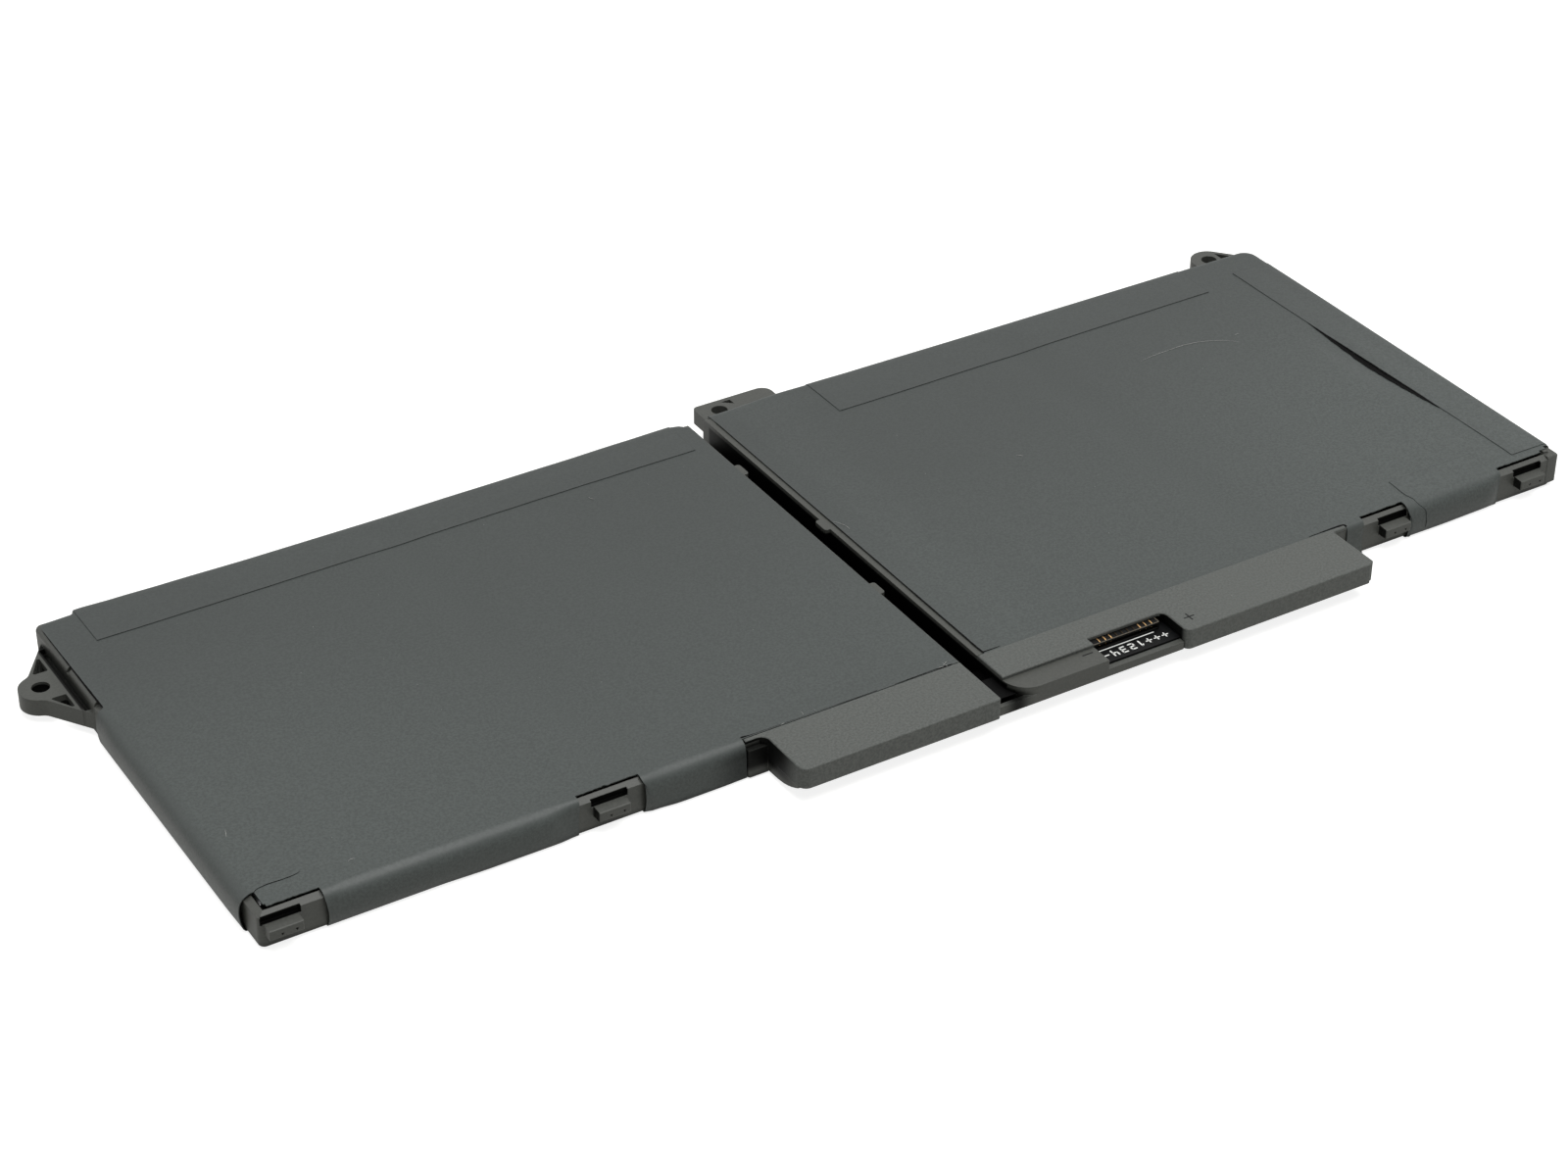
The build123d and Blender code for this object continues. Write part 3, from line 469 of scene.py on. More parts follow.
class Painter(Tree):
    """Builds the node tree of one material."""

    def __init__(self, name: str) -> None:
        """Start a material with a Principled shader on its output.

        Args:
            name: Name of the material.
        """
        self.material = bpy.data.materials.new(name)
        self.material.use_nodes = True
        super().__init__(self.material.node_tree)
        self.tree.nodes.clear()
        self.shader = self.node("ShaderNodeBsdfPrincipled")
        self.output = self.node("ShaderNodeOutputMaterial", {}, {"Surface": self.shader.outputs["BSDF"]})
        self.place = self.node("ShaderNodeTexCoord").outputs["Object"]

    def axes(self) -> list[Signal]:
        """X, Y and Z of the place, in metres."""
        made = self.node("ShaderNodeSeparateXYZ", {}, {"Vector": self.place})
        return [Signal(self, made.outputs[axis]) for axis in "XYZ"]

    def stretched(self, scale: Sequence[float]) -> Socket:
        """Object coordinates scaled by different amounts along X, Y and Z."""
        made = self.node("ShaderNodeMapping", {"vector_type": "POINT"}, {"Vector": self.place, "Scale": scale})
        return made.outputs["Vector"]

    def cloud(
        self, scale: float, detail: float = 2.0, roughness: float = 0.5, distortion: float = 0.0,
        at: Optional[Socket] = None,
    ) -> Signal:
        """Soft noise.

        Args:
            scale: Waves for each metre.
            detail, roughness: Number and share of its finer waves.
            distortion: How much it is drawn about.
            at: Coordinates, where they aren't the object's.

        Returns:
            A value between 0 and 1.
        """
        inputs = {"Scale": scale, "Detail": detail, "Roughness": roughness, "Distortion": distortion}
        made = self.node("ShaderNodeTexNoise", {}, {"Vector": at or self.place, **inputs})
        return Signal(self, made.outputs[0])

    def spots(self, scale: float, reach: float, share: float) -> Signal:
        """Scattered small spots.

        Args:
            scale: Cells for each metre.
            reach: Radius of a spot, as a part of a cell.
            share: Part of the cells that have a spot.

        Returns:
            1 inside a spot and 0 elsewhere.
        """
        cells = self.node("ShaderNodeTexVoronoi", {"feature": "F1"}, {"Vector": self.place, "Scale": scale})
        pick = self.node("ShaderNodeSeparateColor", {}, {"Color": cells.outputs["Color"]})
        near = Signal(self, cells.outputs["Distance"]) < reach
        return near * (Signal(self, pick.outputs[0]) < share)

    def attribute(self, name: str) -> Signal:
        """A number kept on the piece's own points."""
        made = self.node("ShaderNodeAttribute", {"attribute_name": name, "attribute_type": "GEOMETRY"})
        return Signal(self, made.outputs["Fac"])

    def blend(self, factor: Value, one: Value, other: Value) -> Socket:
        """Colour between two colours."""
        made = self.node("ShaderNodeMix", {"data_type": "RGBA"}, {0: factor, 6: one, 7: other})
        return made.outputs[2]

    def relief(self, height: Signal, distance: float, strength: float, normal: object = None) -> Socket:
        """Normal bent by a height.

        Args:
            height: Height between 0 and 1.
            distance: What a height of 1 stands for, in millimetres.
            strength: Share of the effect.
            normal: Normal to start from.

        Returns:
            The bent normal.
        """
        inputs = {"Height": height, "Distance": distance * MM, "Strength": strength}
        if normal is not None:
            inputs["Normal"] = normal
        return self.node("ShaderNodeBump", {}, inputs).outputs["Normal"]

    def soft_edges(self, radius: float) -> tuple[Socket, Signal]:
        """Normal rounded at edges, and a mask of those edges.

        Args:
            radius: Radius of the rounding, in millimetres.

        Returns:
            The rounded normal and a 0-to-1 mask.
        """
        rounded = self.node("ShaderNodeBevel", {"samples": 6}, {"Radius": radius * MM}).outputs["Normal"]
        plain = self.node("ShaderNodeNewGeometry").outputs["Normal"]
        agree = self.node("ShaderNodeVectorMath", {"operation": "DOT_PRODUCT"}, {0: rounded, 1: plain})
        mask = (1 - Signal(self, agree.outputs["Value"])).between(0.02, 0.22)
        return rounded, mask

    def close(self, **sockets: Value) -> Material:
        """Feed the shader's sockets.

        Args:
            sockets: Values, by the socket's name with _ for a space.

        Returns:
            The material.
        """
        for key, value in sockets.items():
            self.feed(self.shader.inputs[key.replace("_", " ")], value)
        return self.material


def tinted(colour: Colour, factor: float) -> Colour:
    """A colour made darker or lighter."""
    return (colour[0] * factor, colour[1] * factor, colour[2] * factor)


# Finishes


@dataclass(frozen=True)
class Shade:
    """Box in millimetres in which a finish is darkened as painted shade, with soft edges.

    Attributes:
        low, high: Corners of the box.
        fade: Width of the soft edge inside each side, along X, Y and Z.
        strength: Share of the effect.
    """

    low: Triple
    high: Triple
    fade: Triple = (0.1, 0.1, 0.3)
    strength: float = 0.9

    def mask(self, parts: Sequence[Signal]) -> Signal:
        """Strength of the shade, from the signals of X, Y and Z.

        Args:
            parts: X, Y and Z, in metres.

        Returns:
            0 outside the box, up to the strength inside it.
        """
        found = None
        for part, low, high, fade in zip(parts, self.low, self.high, self.fade):
            rise = part.between(low * MM, (low + fade) * MM) * (1 - part.between((high - fade) * MM, high * MM))
            found = rise if found is None else found * rise
        return found * self.strength


def painted_shade_mask(paint: Painter, shades: Sequence[Shade]) -> Value:
    """Greatest mask of several painted shades, 0 without any.

    Args:
        paint: Material that they are for.
        shades: The shades.

    Returns:
        The mask.
    """
    parts = paint.axes()
    found: Value = 0.0
    for index, shade in enumerate(shades):
        mask = shade.mask(parts)
        found = found.most(mask) if index else mask
    return found


@dataclass(frozen=True)
class FilmFinish:
    """Thin dark satin film with dust and paler folds."""

    name: str = "satin_film"
    colour: Colour = (0.0425, 0.0486, 0.0460)
    roughness: float = 0.46
    fold_gain: float = 0.2
    edge_shade: float = 0.35
    shades: tuple[Shade, ...] = ()

    def material(self) -> Material:
        """Build the material.

        Returns:
            The material.
        """
        paint = Painter(self.name)
        patches = paint.cloud(14.0, 4.0, 0.55)
        smudges = paint.cloud(60.0, 3.0, 0.6, 0.6)
        grain = paint.cloud(2300.0, 2.0, 0.75)
        peel = paint.cloud(420.0, 1.0, 0.4)
        dust = paint.spots(170.0, 0.018, 0.30)
        wear = paint.attribute("wear")
        fold = wear.between(0.05, 1.0)
        cut = (0 - wear).between(0.1, 1.0)
        tone = paint.blend(patches.between(0.25, 0.75), tinted(self.colour, 0.90), tinted(self.colour, 1.10))
        across, deep, high = paint.axes()
        # Painted light: the colour is lightened towards the front and along a sheen band on the right film.
        painted_front_light = 1 - deep.between(-0.040, 0.045)
        painted_sheen_band = across.between(0.008, 0.013) * (1 - across.between(0.014, 0.024))
        tone = paint.blend(painted_front_light * 0.8 + painted_sheen_band * 0.2, tone, tinted(self.colour, 1.5))
        # Painted light: the top near the front is lightened further towards both outer ends.
        ends = 1 - across.between(-0.100, -0.035) + across.between(0.055, 0.105)
        front = (1 - deep.between(-0.020, 0.038)) * high.between(0.0042, 0.0056)
        tone = paint.blend(ends * front * 0.6, tone, tinted(self.colour, 1.75))
        tone = paint.blend(grain.between(0.3, 0.7) * 0.6, tone, tinted(self.colour, 0.72))
        tone = paint.blend(fold * (0.35 + 0.5 * smudges), tone, tinted(self.colour, 1 + self.fold_gain))
        tone = paint.blend(cut * 0.85, tone, tinted(self.colour, self.edge_shade))
        tone = paint.blend(dust * 0.45, tone, (0.26, 0.27, 0.26))
        # Painted shade: inside the shade boxes the colour goes nearly black, and Metallic takes away its reflection.
        dark = painted_shade_mask(paint, self.shades)
        tone = paint.blend(dark, tone, tinted(self.colour, 0.05))
        gloss = self.roughness + (patches - 0.5) * 0.08 + (smudges - 0.5) * 0.05 + (grain - 0.5) * 0.12
        normal = paint.relief(peel, 0.02, 0.25, paint.relief(grain, 0.008, 0.5))
        return paint.close(Base_Color=tone, Roughness=gloss, Metallic=dark, Normal=normal, IOR=1.38)


@dataclass(frozen=True)
class MouldedFinish:
    """Dark moulded plastic with a fine spark grain and polished edges."""

    name: str
    colour: Colour
    roughness: float
    grain_scale: float
    grain_depth: float
    grain_gain: float = 0.16
    edge_radius: float = 0.12
    edge_gain: float = 1.5
    index: float = 1.45
    shades: tuple[Shade, ...] = ()

    def material(self) -> Material:
        """Build the material.

        Returns:
            The material.
        """
        paint = Painter(self.name)
        grain = paint.cloud(self.grain_scale, 3.0, 0.65)
        pits = paint.cloud(self.grain_scale * 0.45, 1.0, 0.5)
        flow = paint.cloud(30.0, 3.0, 0.6, 0.8)
        dust = paint.spots(210.0, 0.018, 0.22)
        rounded, edges = paint.soft_edges(self.edge_radius)
        fine, coarse = tinted(self.colour, 1 - self.grain_gain), tinted(self.colour, 1 + self.grain_gain)
        tone = paint.blend(grain.between(0.32, 0.68), fine, coarse)
        tone = paint.blend(flow.between(0.3, 0.8) * 0.5, tone, tinted(self.colour, 1.12))
        tone = paint.blend(edges * 0.5, tone, tinted(self.colour, self.edge_gain))
        tone = paint.blend(dust * 0.5, tone, (0.28, 0.28, 0.26))
        # Painted shade: inside the shade boxes the colour goes nearly black, and Metallic takes away its reflection.
        dark = painted_shade_mask(paint, self.shades)
        tone = paint.blend(dark, tone, (0.0006, 0.0006, 0.0006))
        gloss = self.roughness + (grain - 0.5) * 0.12 - edges * 0.12 + (flow - 0.5) * 0.08
        normal = paint.relief(grain * 0.6 + pits * 0.4, self.grain_depth, 0.6, rounded)
        return paint.close(Base_Color=tone, Roughness=gloss, Metallic=dark, Normal=normal, IOR=self.index)


@dataclass(frozen=True)
class MetalFinish:
    """Thin metal with rolling lines, small dents and a light tarnish."""

    name: str
    colour: Colour
    roughness: float
    tarnish: Colour
    line_scale: Sequence[float] = (120.0, 4200.0, 4200.0)
    crinkle: float = 0.0
    dull: Optional[Pair] = None

    def material(self) -> Material:
        """Build the material.

        Returns:
            The material.
        """
        paint = Painter(self.name)
        rolled = paint.cloud(1.0, 3.0, 0.6, 0.0, paint.stretched(self.line_scale))
        stain = paint.cloud(160.0, 4.0, 0.6, 0.5)
        folds = paint.cloud(300.0, 4.0, 0.55, 1.2)
        tone = paint.blend(stain.between(0.42, 0.78) * 0.6, self.colour, self.tarnish)
        # Painted shade: contacts within this X span are darkened nearly to black, as if in shadow.
        if self.dull:
            middle, half = (self.dull[0] + self.dull[1]) / 2 * MM, (self.dull[1] - self.dull[0]) / 2 * MM
            inside = abs(paint.axes()[0] - middle) < half
            tone = paint.blend(inside * 0.96, tone, (0.012, 0.010, 0.008))
        gloss = self.roughness + (rolled - 0.5) * 0.18 + (stain - 0.5) * 0.14
        normal = paint.relief(rolled, 0.004, 0.4)
        if self.crinkle > 0:
            normal = paint.relief(folds, self.crinkle, 0.7, normal)
        return paint.close(Base_Color=tone, Roughness=gloss, Metallic=0.95 - stain * 0.1, Normal=normal)


@dataclass(frozen=True)
class BoardFinish:
    """Glossy dark solder mask over copper tracks and round vias."""

    name: str = "dark_board"
    colour: Colour = (0.0012, 0.0013, 0.0014)
    track: Colour = (0.0026, 0.0029, 0.0031)

    def material(self) -> Material:
        """Build the material.

        Returns:
            The material.
        """
        paint = Painter(self.name)
        settings = {"feature": "F1", "distance": "CHEBYCHEV"}
        areas = paint.node("ShaderNodeTexVoronoi", settings, {"Vector": paint.place, "Scale": 620.0})
        tracks = Signal(paint, areas.outputs["Distance"]).between(0.42, 0.47)
        vias = paint.spots(700.0, 0.14, 0.3)
        weave = paint.cloud(2600.0, 2.0, 0.5)
        tone = paint.blend(tracks, self.colour, self.track)
        tone = paint.blend(vias * 0.8, tone, (0.009, 0.008, 0.006))
        normal = paint.relief(tracks * 0.7 + weave * 0.1, 0.02, 0.5)
        gloss = 0.42 + weave * 0.12 + vias * 0.2
        return paint.close(Base_Color=tone, Roughness=gloss, Normal=normal, IOR=1.22)


@dataclass(frozen=True)
class FoamFinish:
    """Dark open foam."""

    name: str = "dark_foam"
    colour: Colour = (0.03, 0.03, 0.032)

    def material(self) -> Material:
        """Build the material.

        Returns:
            The material.
        """
        paint = Painter(self.name)
        pores = paint.node("ShaderNodeTexVoronoi", {"feature": "F1"}, {"Vector": paint.place, "Scale": 1500.0})
        depth = Signal(paint, pores.outputs["Distance"])
        tone = paint.blend(depth.between(0.1, 0.6), tinted(self.colour, 0.4), tinted(self.colour, 1.4))
        return paint.close(Base_Color=tone, Roughness=0.9 + depth * 0.08, Normal=paint.relief(depth, 0.15, 0.8))


@dataclass(frozen=True)
class InkFinish:
    """Printed or moulded mark, broken up by the surface below it."""

    name: str
    colour: Colour
    worn: Colour
    roughness: float = 0.55
    metallic: float = 0.0

    def material(self) -> Material:
        """Build the material.

        Returns:
            The material.
        """
        paint = Painter(self.name)
        break_up = paint.cloud(2400.0, 3.0, 0.7)
        thin = paint.cloud(500.0, 2.0)
        tone = paint.blend(break_up.between(0.58, 0.8) * 0.7 + thin * 0.12, self.colour, self.worn)
        gloss = self.roughness + (break_up - 0.5) * 0.2
        normal = paint.relief(break_up, 0.01, 0.4)
        return paint.close(Base_Color=tone, Roughness=gloss, Metallic=self.metallic, Normal=normal)


@dataclass(frozen=True)
class CeramicFinish:
    """Small pale part with metal end caps, along X."""

    name: str
    body: Colour
    cap: Colour
    middle: float
    half_body: float

    def material(self) -> Material:
        """Build the material.

        Returns:
            The material.
        """
        paint = Painter(self.name)
        from_middle = abs(paint.axes()[0] - self.middle * MM)
        caps = from_middle.between((self.half_body - 0.05) * MM, (self.half_body + 0.05) * MM)
        speckle = paint.cloud(2000.0, 3.0, 0.6)
        body = paint.blend(speckle.between(0.3, 0.7), tinted(self.body, 0.88), self.body)
        tone = paint.blend(caps, body, self.cap)
        normal = paint.relief(speckle, 0.01, 0.5)
        return paint.close(Base_Color=tone, Metallic=caps * 0.9, Roughness=0.5 - caps * 0.15, Normal=normal)


HOOKS = (-57.5, 84.9, 113.05)
# Painted shade: boxes in which the finishes are darkened where shade falls. The first darkens every finish that
# carries it towards the bottom; the others darken the slot and its lip, the hook recesses and sides, the ear's groove,
# pockets and screw hole, the left housing's recess and flank, and the bay's inner wall.
FOOT_SHADE = Shade((-130.0, -60.0, -1.0), (130.0, 60.0, 1.3), (0.1, 0.1, 1.2), 0.55)
FRAME_SHADES = (
    FOOT_SHADE,
    Shade((2.2, -47.3, -1.0), (5.8, 41.8, 5.5), (0.05, 0.6, 0.35), 0.98),
    Shade((2.2, -47.3, -1.0), (5.8, 37.5, 5.5), (0.05, 4.0, 0.35), 0.9),
    Shade((2.6, -49.0, -1.0), (9.0, -43.0, 5.2), (3.0, 0.5, 0.7), 0.9),
    Shade((-111.2, -37.82, 3.9), (118.6, -36.4, 5.12), (0.1, 0.06, 0.05), 0.93),
    Shade((-112.7, 20.8, -1.0), (-111.32, 41.5, 5.0), (0.15, 1.5, 0.5), 0.85),
    Shade((-114.2, 24.2, -1.0), (-112.8, 27.2, 3.0), (0.05, 0.05, 0.2), 0.9),
    Shade((-114.2, 33.4, -1.0), (-112.8, 36.4, 3.0), (0.05, 0.05, 0.2), 0.9),
    Shade((-117.1, 28.8, -1.0), (-114.1, 31.8, 3.6), (0.02, 0.02, 0.2), 0.95),
    Shade((-36.0, -47.5, 0.6), (-30.9, -32.4, 6.1), (0.3, 5.0, 1.6), 0.9),
    *(Shade((x - 2.67, -39.55, 2.2), (x - 2.47, -37.7, 4.3), (0.04, 0.1, 0.1), 0.8) for x in HOOKS),
)
COVER_SHADES = (
    Shade((-36.0, -48.4, 1.0), (-31.5, -31.3, 6.02), (0.1, 6.0, 0.1), 0.93),
    Shade((35.6, -47.6, 1.0), (36.5, -41.2, 5.95), (0.1, 0.8, 0.1), 0.93),
)
FILM_SHADES = (FOOT_SHADE, Shade((-43.0, -39.5, -1.0), (-28.0, -37.4, 5.7), (7.0, 0.1, 1.8), 0.6))


class Finishes:
    """All materials of the battery, each made once."""

    def __init__(self) -> None:
        """Name every finish and make its material."""
        self.film = FilmFinish(shades=FILM_SHADES)
        self.tape = FilmFinish("satin_tape", (0.0425, 0.0486, 0.0460), 0.44, 0.2, 0.5)
        self.underside = FilmFinish("plain_sheet", (0.040, 0.043, 0.042), 0.5, 0.3, 0.4)
        self.frame = MouldedFinish(
            "frame_moulding", (0.047, 0.049, 0.043), 0.50, 2600.0, 0.02, shades=FRAME_SHADES
        )
        self.cover = MouldedFinish(
            "cover_moulding", (0.071, 0.076, 0.070), 0.58, 2600.0, 0.045, 0.3, shades=COVER_SHADES
        )
        self.connector = MouldedFinish(
            "connector_moulding", (0.0016, 0.0015, 0.0014), 0.5, 3000.0, 0.01,
            edge_radius=0.09, edge_gain=9.0, index=1.25,
        )
        self.chip = MouldedFinish("chip_moulding", (0.018, 0.018, 0.019), 0.55, 4000.0, 0.02)
        self.insulation = MouldedFinish("strip_insulation", (0.002, 0.002, 0.002), 0.5, 1200.0, 0.02, index=1.15)
        self.rim = MouldedFinish("connector_rim", (0.10, 0.085, 0.062), 0.45, 3000.0, 0.01)
        self.board = BoardFinish()
        self.gold = MetalFinish("gold_contact", (0.80, 0.50, 0.22), 0.30, (0.42, 0.24, 0.10), dull=(26.6, 31.0))
        self.nickel = MetalFinish("nickel_strip", (0.60, 0.58, 0.54), 0.32, (0.38, 0.36, 0.32))
        self.pouch = MetalFinish(
            "pouch_foil", (0.62, 0.63, 0.65), 0.36, (0.50, 0.51, 0.53), (300.0, 900.0, 900.0), 0.12
        )
        self.foam = FoamFinish()
        self.white_ink = InkFinish("white_ink", (0.82, 0.83, 0.80), (0.45, 0.46, 0.44))
        self.dark_mark = InkFinish("dark_mark", (0.005, 0.0055, 0.0055), (0.012, 0.0125, 0.012), 0.6, 0.6)
        self.void = InkFinish("dark_gap", (0.0010, 0.0010, 0.0010), (0.004, 0.004, 0.004), 0.7, 0.95)
        self.lint = InkFinish("pale_lint", (0.42, 0.42, 0.40), (0.20, 0.20, 0.19), 0.85)
        for key, finish in tuple(vars(self).items()):
            setattr(self, key, finish.material())


class Finish(Enum):
    """Which finish each CAD node that stays in view or inside carries."""

    FRAME = ("frame", ("chassis_frame",))
    COVER = ("cover", ("left_terminal_cover", "board_cover"))
    BOARD = ("board", ("left_terminal_board", "protection_board"))
    POUCH = ("pouch", ("cell_1", "cell_2", "cell_3", "cell_4"))
    INSULATION = ("insulation", ("link_strip",))
    CONNECTOR = ("connector", ("connector_housing",))
    CHIP = ("chip", ("charge_transistor", "discharge_transistor", "gauge_chip"))
    FOAM = ("foam", ("left_cell_pads", "right_cell_pads"))
    SHEET = ("underside", ("left_bottom_sheet", "right_bottom_sheet"))


# Skin of a pack


class Edge(Enum):
    """Sides of a pack that its film turns over, as the direction away from the pack."""

    FRONT = (0.0, -1.0)
    BACK = (0.0, 1.0)
    OUTER = (1.0, 0.0)


@dataclass(frozen=True)
class Skin:
    """Outer surface of one pack's film.

    Attributes:
        outer, inner: X of the outer face and of the edge at the slot.
        front, back: Y of the front and back faces.
        top: Height of the flat top.
        seam: X of the gap between the two cells.
        front_bulge, side_bulge: How far the film stands off the frame half way down, along X and along Y.
        front_foot, side_foot: How far it stands off at the bottom.
        front_roll, side_roll: Radius of its turn from the top to the wall.
        back_spread, side_spread: How far the whole turn lies outside the frame's.
        dips: Soft hollows as X, Y, half width in X, half width in Y and depth.
        seed: Picks the pattern of the unevenness.
        corner: Distance from each face to the end of the flat top.
        back_roll: Radius of the film's turn at the back.
        foot, flange: Radius of its turn under the pack, and how far it then runs in.
        front_drop, front_drop_reach: How far the top sinks toward the front, and over which distance.
        seam_depth, seam_reach: Depth and half width of the trough between the cells.
        swell, unevenness: Height of the soft pillow and of the random waves.
    """

    outer: float
    inner: float
    front: float
    back: float
    top: float
    seam: float
    front_bulge: Stations
    side_bulge: Stations
    front_foot: Stations
    side_foot: Stations
    front_roll: Stations
    side_roll: Stations
    back_spread: Stations
    side_spread: Stations
    dips: tuple[tuple[float, float, float, float, float], ...]
    seed: float
    corner: float = 2.0
    back_roll: float = 0.95
    foot: float = 0.45
    flange: float = 2.0
    front_drop: float = 0.12
    front_drop_reach: float = 5.0
    seam_depth: float = 0.12
    seam_reach: float = 6.0
    swell: float = 0.05
    unevenness: float = 0.035

    @property
    def side(self) -> int:
        """1 where the outer face is on the right, -1 on the left."""
        return 1 if self.outer > self.inner else -1

    def radius(self, base: Pair, direction: Pair) -> float:
        """Radius of the film's turn at a place, for a direction away from the pack."""
        end = self.front_roll.at(base[0]) if direction[1] < 0 else self.back_roll
        return self.side_roll.at(base[1]) * direction[0] ** 2 + end * direction[1] ** 2

    def wall_start(self, roll: float) -> float:
        """Distance along the film, from the end of its flat top to its upright wall."""
        return self.corner - roll + roll * math.pi / 2

    def wall_end(self, roll: float) -> float:
        """Distance along the film to the foot of its wall."""
        return self.wall_start(roll) + self.top - roll - self.foot

    def turn_end(self, roll: float) -> float:
        """Distance along the film to the end of the turn under the pack."""
        return self.wall_end(roll) + self.foot * math.pi / 2

    def flat_edge(self, edge: Edge) -> float:
        """X or Y where the flat top ends at an edge.

        Args:
            edge: The edge.

        Returns:
            Y at the front and back, X at the outer side.
        """
        if edge is Edge.OUTER:
            return self.outer - self.side * self.corner
        return self.front + self.corner if edge is Edge.FRONT else self.back - self.corner

    def sag(self, x: float, y: float) -> float:
        """Height of the film's top over its flat level, in millimetres.

        Args:
            x, y: Place on the top.

        Returns:
            The height, which may be below 0.
        """
        from_rim = min(self.back - y, abs(x - self.outer), abs(x - self.inner) + 0.4)
        free = ease(from_rim, 1.2, 5.0) * ease(y - self.front, 1.0, 5.0)
        pillow = self.swell * (1 - 0.6 * mound(x, self.seam, 22.0))
        trough = self.seam_depth * mound(x, self.seam, self.seam_reach) * (0.65 + 0.35 * ripple(x, y, 0.03, 7.0))
        uneven = self.unevenness * (ripple(x, y, 0.045, self.seed) + 0.5 * ripple(x, y, 0.13, self.seed + 5.0))
        hollow = sum(
            depth * mound(x, cx, half_x) * mound(y, cy, half_y) for cx, cy, half_x, half_y, depth in self.dips
        )
        drop = self.front_drop * (1 - ease(y - self.front, 0.4, self.front_drop_reach))
        return free * (pillow - trough + uneven) - hollow * ease(from_rim, 0.6, 1.6) - drop

    def surface(self, x: float, y: float, lift: float = 0.0) -> Vector:
        """Point of the top."""
        return Vector((x, y, self.top + self.sag(x, y) + lift))

    def fold(self, base: Pair, direction: Pair, along: float, lift: float = 0.0) -> Vector:
        """Point of the film where it turns down over an edge.

        Args:
            base: X and Y where the flat top ends.
            direction: Unit direction away from the pack.
            along: Distance along the film from there; below 0 it is on the flat top.
            lift: Height over the film.

        Returns:
            The point, in millimetres.
        """
        x, y = base
        if along <= 0:
            return self.surface(x + direction[0] * along, y + direction[1] * along, lift)
        roll = self.radius(base, direction)
        flat, wall_start = self.corner - roll, self.wall_start(roll)
        wall_end, turn_end = self.wall_end(roll), self.turn_end(roll)
        if along <= flat:
            out, z = along, self.top + lift
        elif along <= wall_start:
            turn = (along - flat) / roll
            out = flat + (roll + lift) * math.sin(turn)
            z = self.top - roll + (roll + lift) * math.cos(turn)
        elif along <= wall_end:
            out = self.corner + lift
            z = self.top - roll - (along - wall_start)
        elif along <= turn_end:
            turn = (along - wall_end) / self.foot
            out = self.corner - self.foot + self.foot * math.cos(turn)
            z = self.foot - self.foot * math.sin(turn)
        else:
            out = self.corner - self.foot - (along - turn_end)
            z = 0.0
        out += self.bulge(base, direction, z)
        z += self.sag(x, y) * min(max(z / self.top, 0.0), 1.0)
        return Vector((x + direction[0] * out, y + direction[1] * out, z))

    def bulge(self, base: Pair, direction: Pair, z: float) -> float:
        """How far the film stands off the frame at a height.

        Args:
            base: X and Y where the flat top ends.
            direction: Unit direction away from the pack.
            z: Height.

        Returns:
            The distance, in millimetres.
        """
        bow = math.sin(math.pi * min(max((z - 0.25) / (self.top - 0.45), 0.0), 1.0)) ** 0.8
        low = (1 - bow) * (1 - ease(z, self.top * 0.3, self.top * 0.8))
        found = 0.0
        if direction[1] < 0:
            found += (self.front_bulge.at(base[0]) * bow + self.front_foot.at(base[0]) * low) * -direction[1]
        if direction[0] * self.side > 0:
            found += (self.side_bulge.at(base[1]) * bow + self.side_foot.at(base[1]) * low) * abs(direction[0])
        return found

    def drape(self, x: float, y: float, lift: float = 0.0) -> Vector:
        """Point of the film over a place, also where it turns down at the outer side.

        Args:
            x, y: The place.
            lift: Height over the film.

        Returns:
            The point, in millimetres.
        """
        base = self.base(Edge.OUTER, y)
        out = (x - base[0]) * self.side
        roll = self.radius(base, self.direction(Edge.OUTER))
        past = min(max((out - self.corner + roll) / roll, 0.0), 1.0)
        along = self.corner - roll + roll * math.asin(past) if past > 0 else out
        return self.fold(base, self.direction(Edge.OUTER), along, lift)

    def direction(self, edge: Edge) -> Pair:
        """Unit direction away from the pack at an edge."""
        return (float(self.side), 0.0) if edge is Edge.OUTER else edge.value

    def base(self, edge: Edge, place: float) -> Pair:
        """Where the flat top ends at an edge, at a place along it.

        Args:
            edge: The edge.
            place: The place.

        Returns:
            X and Y.
        """
        if edge is Edge.OUTER:
            return (self.flat_edge(edge) + self.side * self.side_spread.at(place), place)
        spread = self.back_spread.at(place) if edge is Edge.BACK else 0.0
        return (place, self.flat_edge(edge) + spread)

    def corner_base(self, edge: Edge, direction: Pair) -> Pair:
        """Where the flat top ends at a corner, for a direction away from the pack.

        Args:
            edge: Front or back.
            direction: Unit direction.

        Returns:
            X and Y.
        """
        x, y = self.flat_edge(Edge.OUTER), self.flat_edge(edge)
        back = self.back_spread.at(x) if edge is Edge.BACK else 0.0
        return (x + self.side_spread.at(y) * direction[0], y + back * direction[1])


@dataclass(frozen=True)
class Window:
    """A cut in a film's front.

    Attributes:
        top, face: Its X range in the top and low on the front wall.
        depth: How far it reaches over the top.
        ragged: Unevenness of its edge.
        flank: How far it also opens the outer wall, along Y.
    """

    top: Pair
    face: Pair
    depth: float
    ragged: float = 0.12
    flank: float = 0.0

    def spans(self, x: float) -> bool:
        """True where the cut's top reaches along the front."""
        return self.top[0] < x < self.top[1]


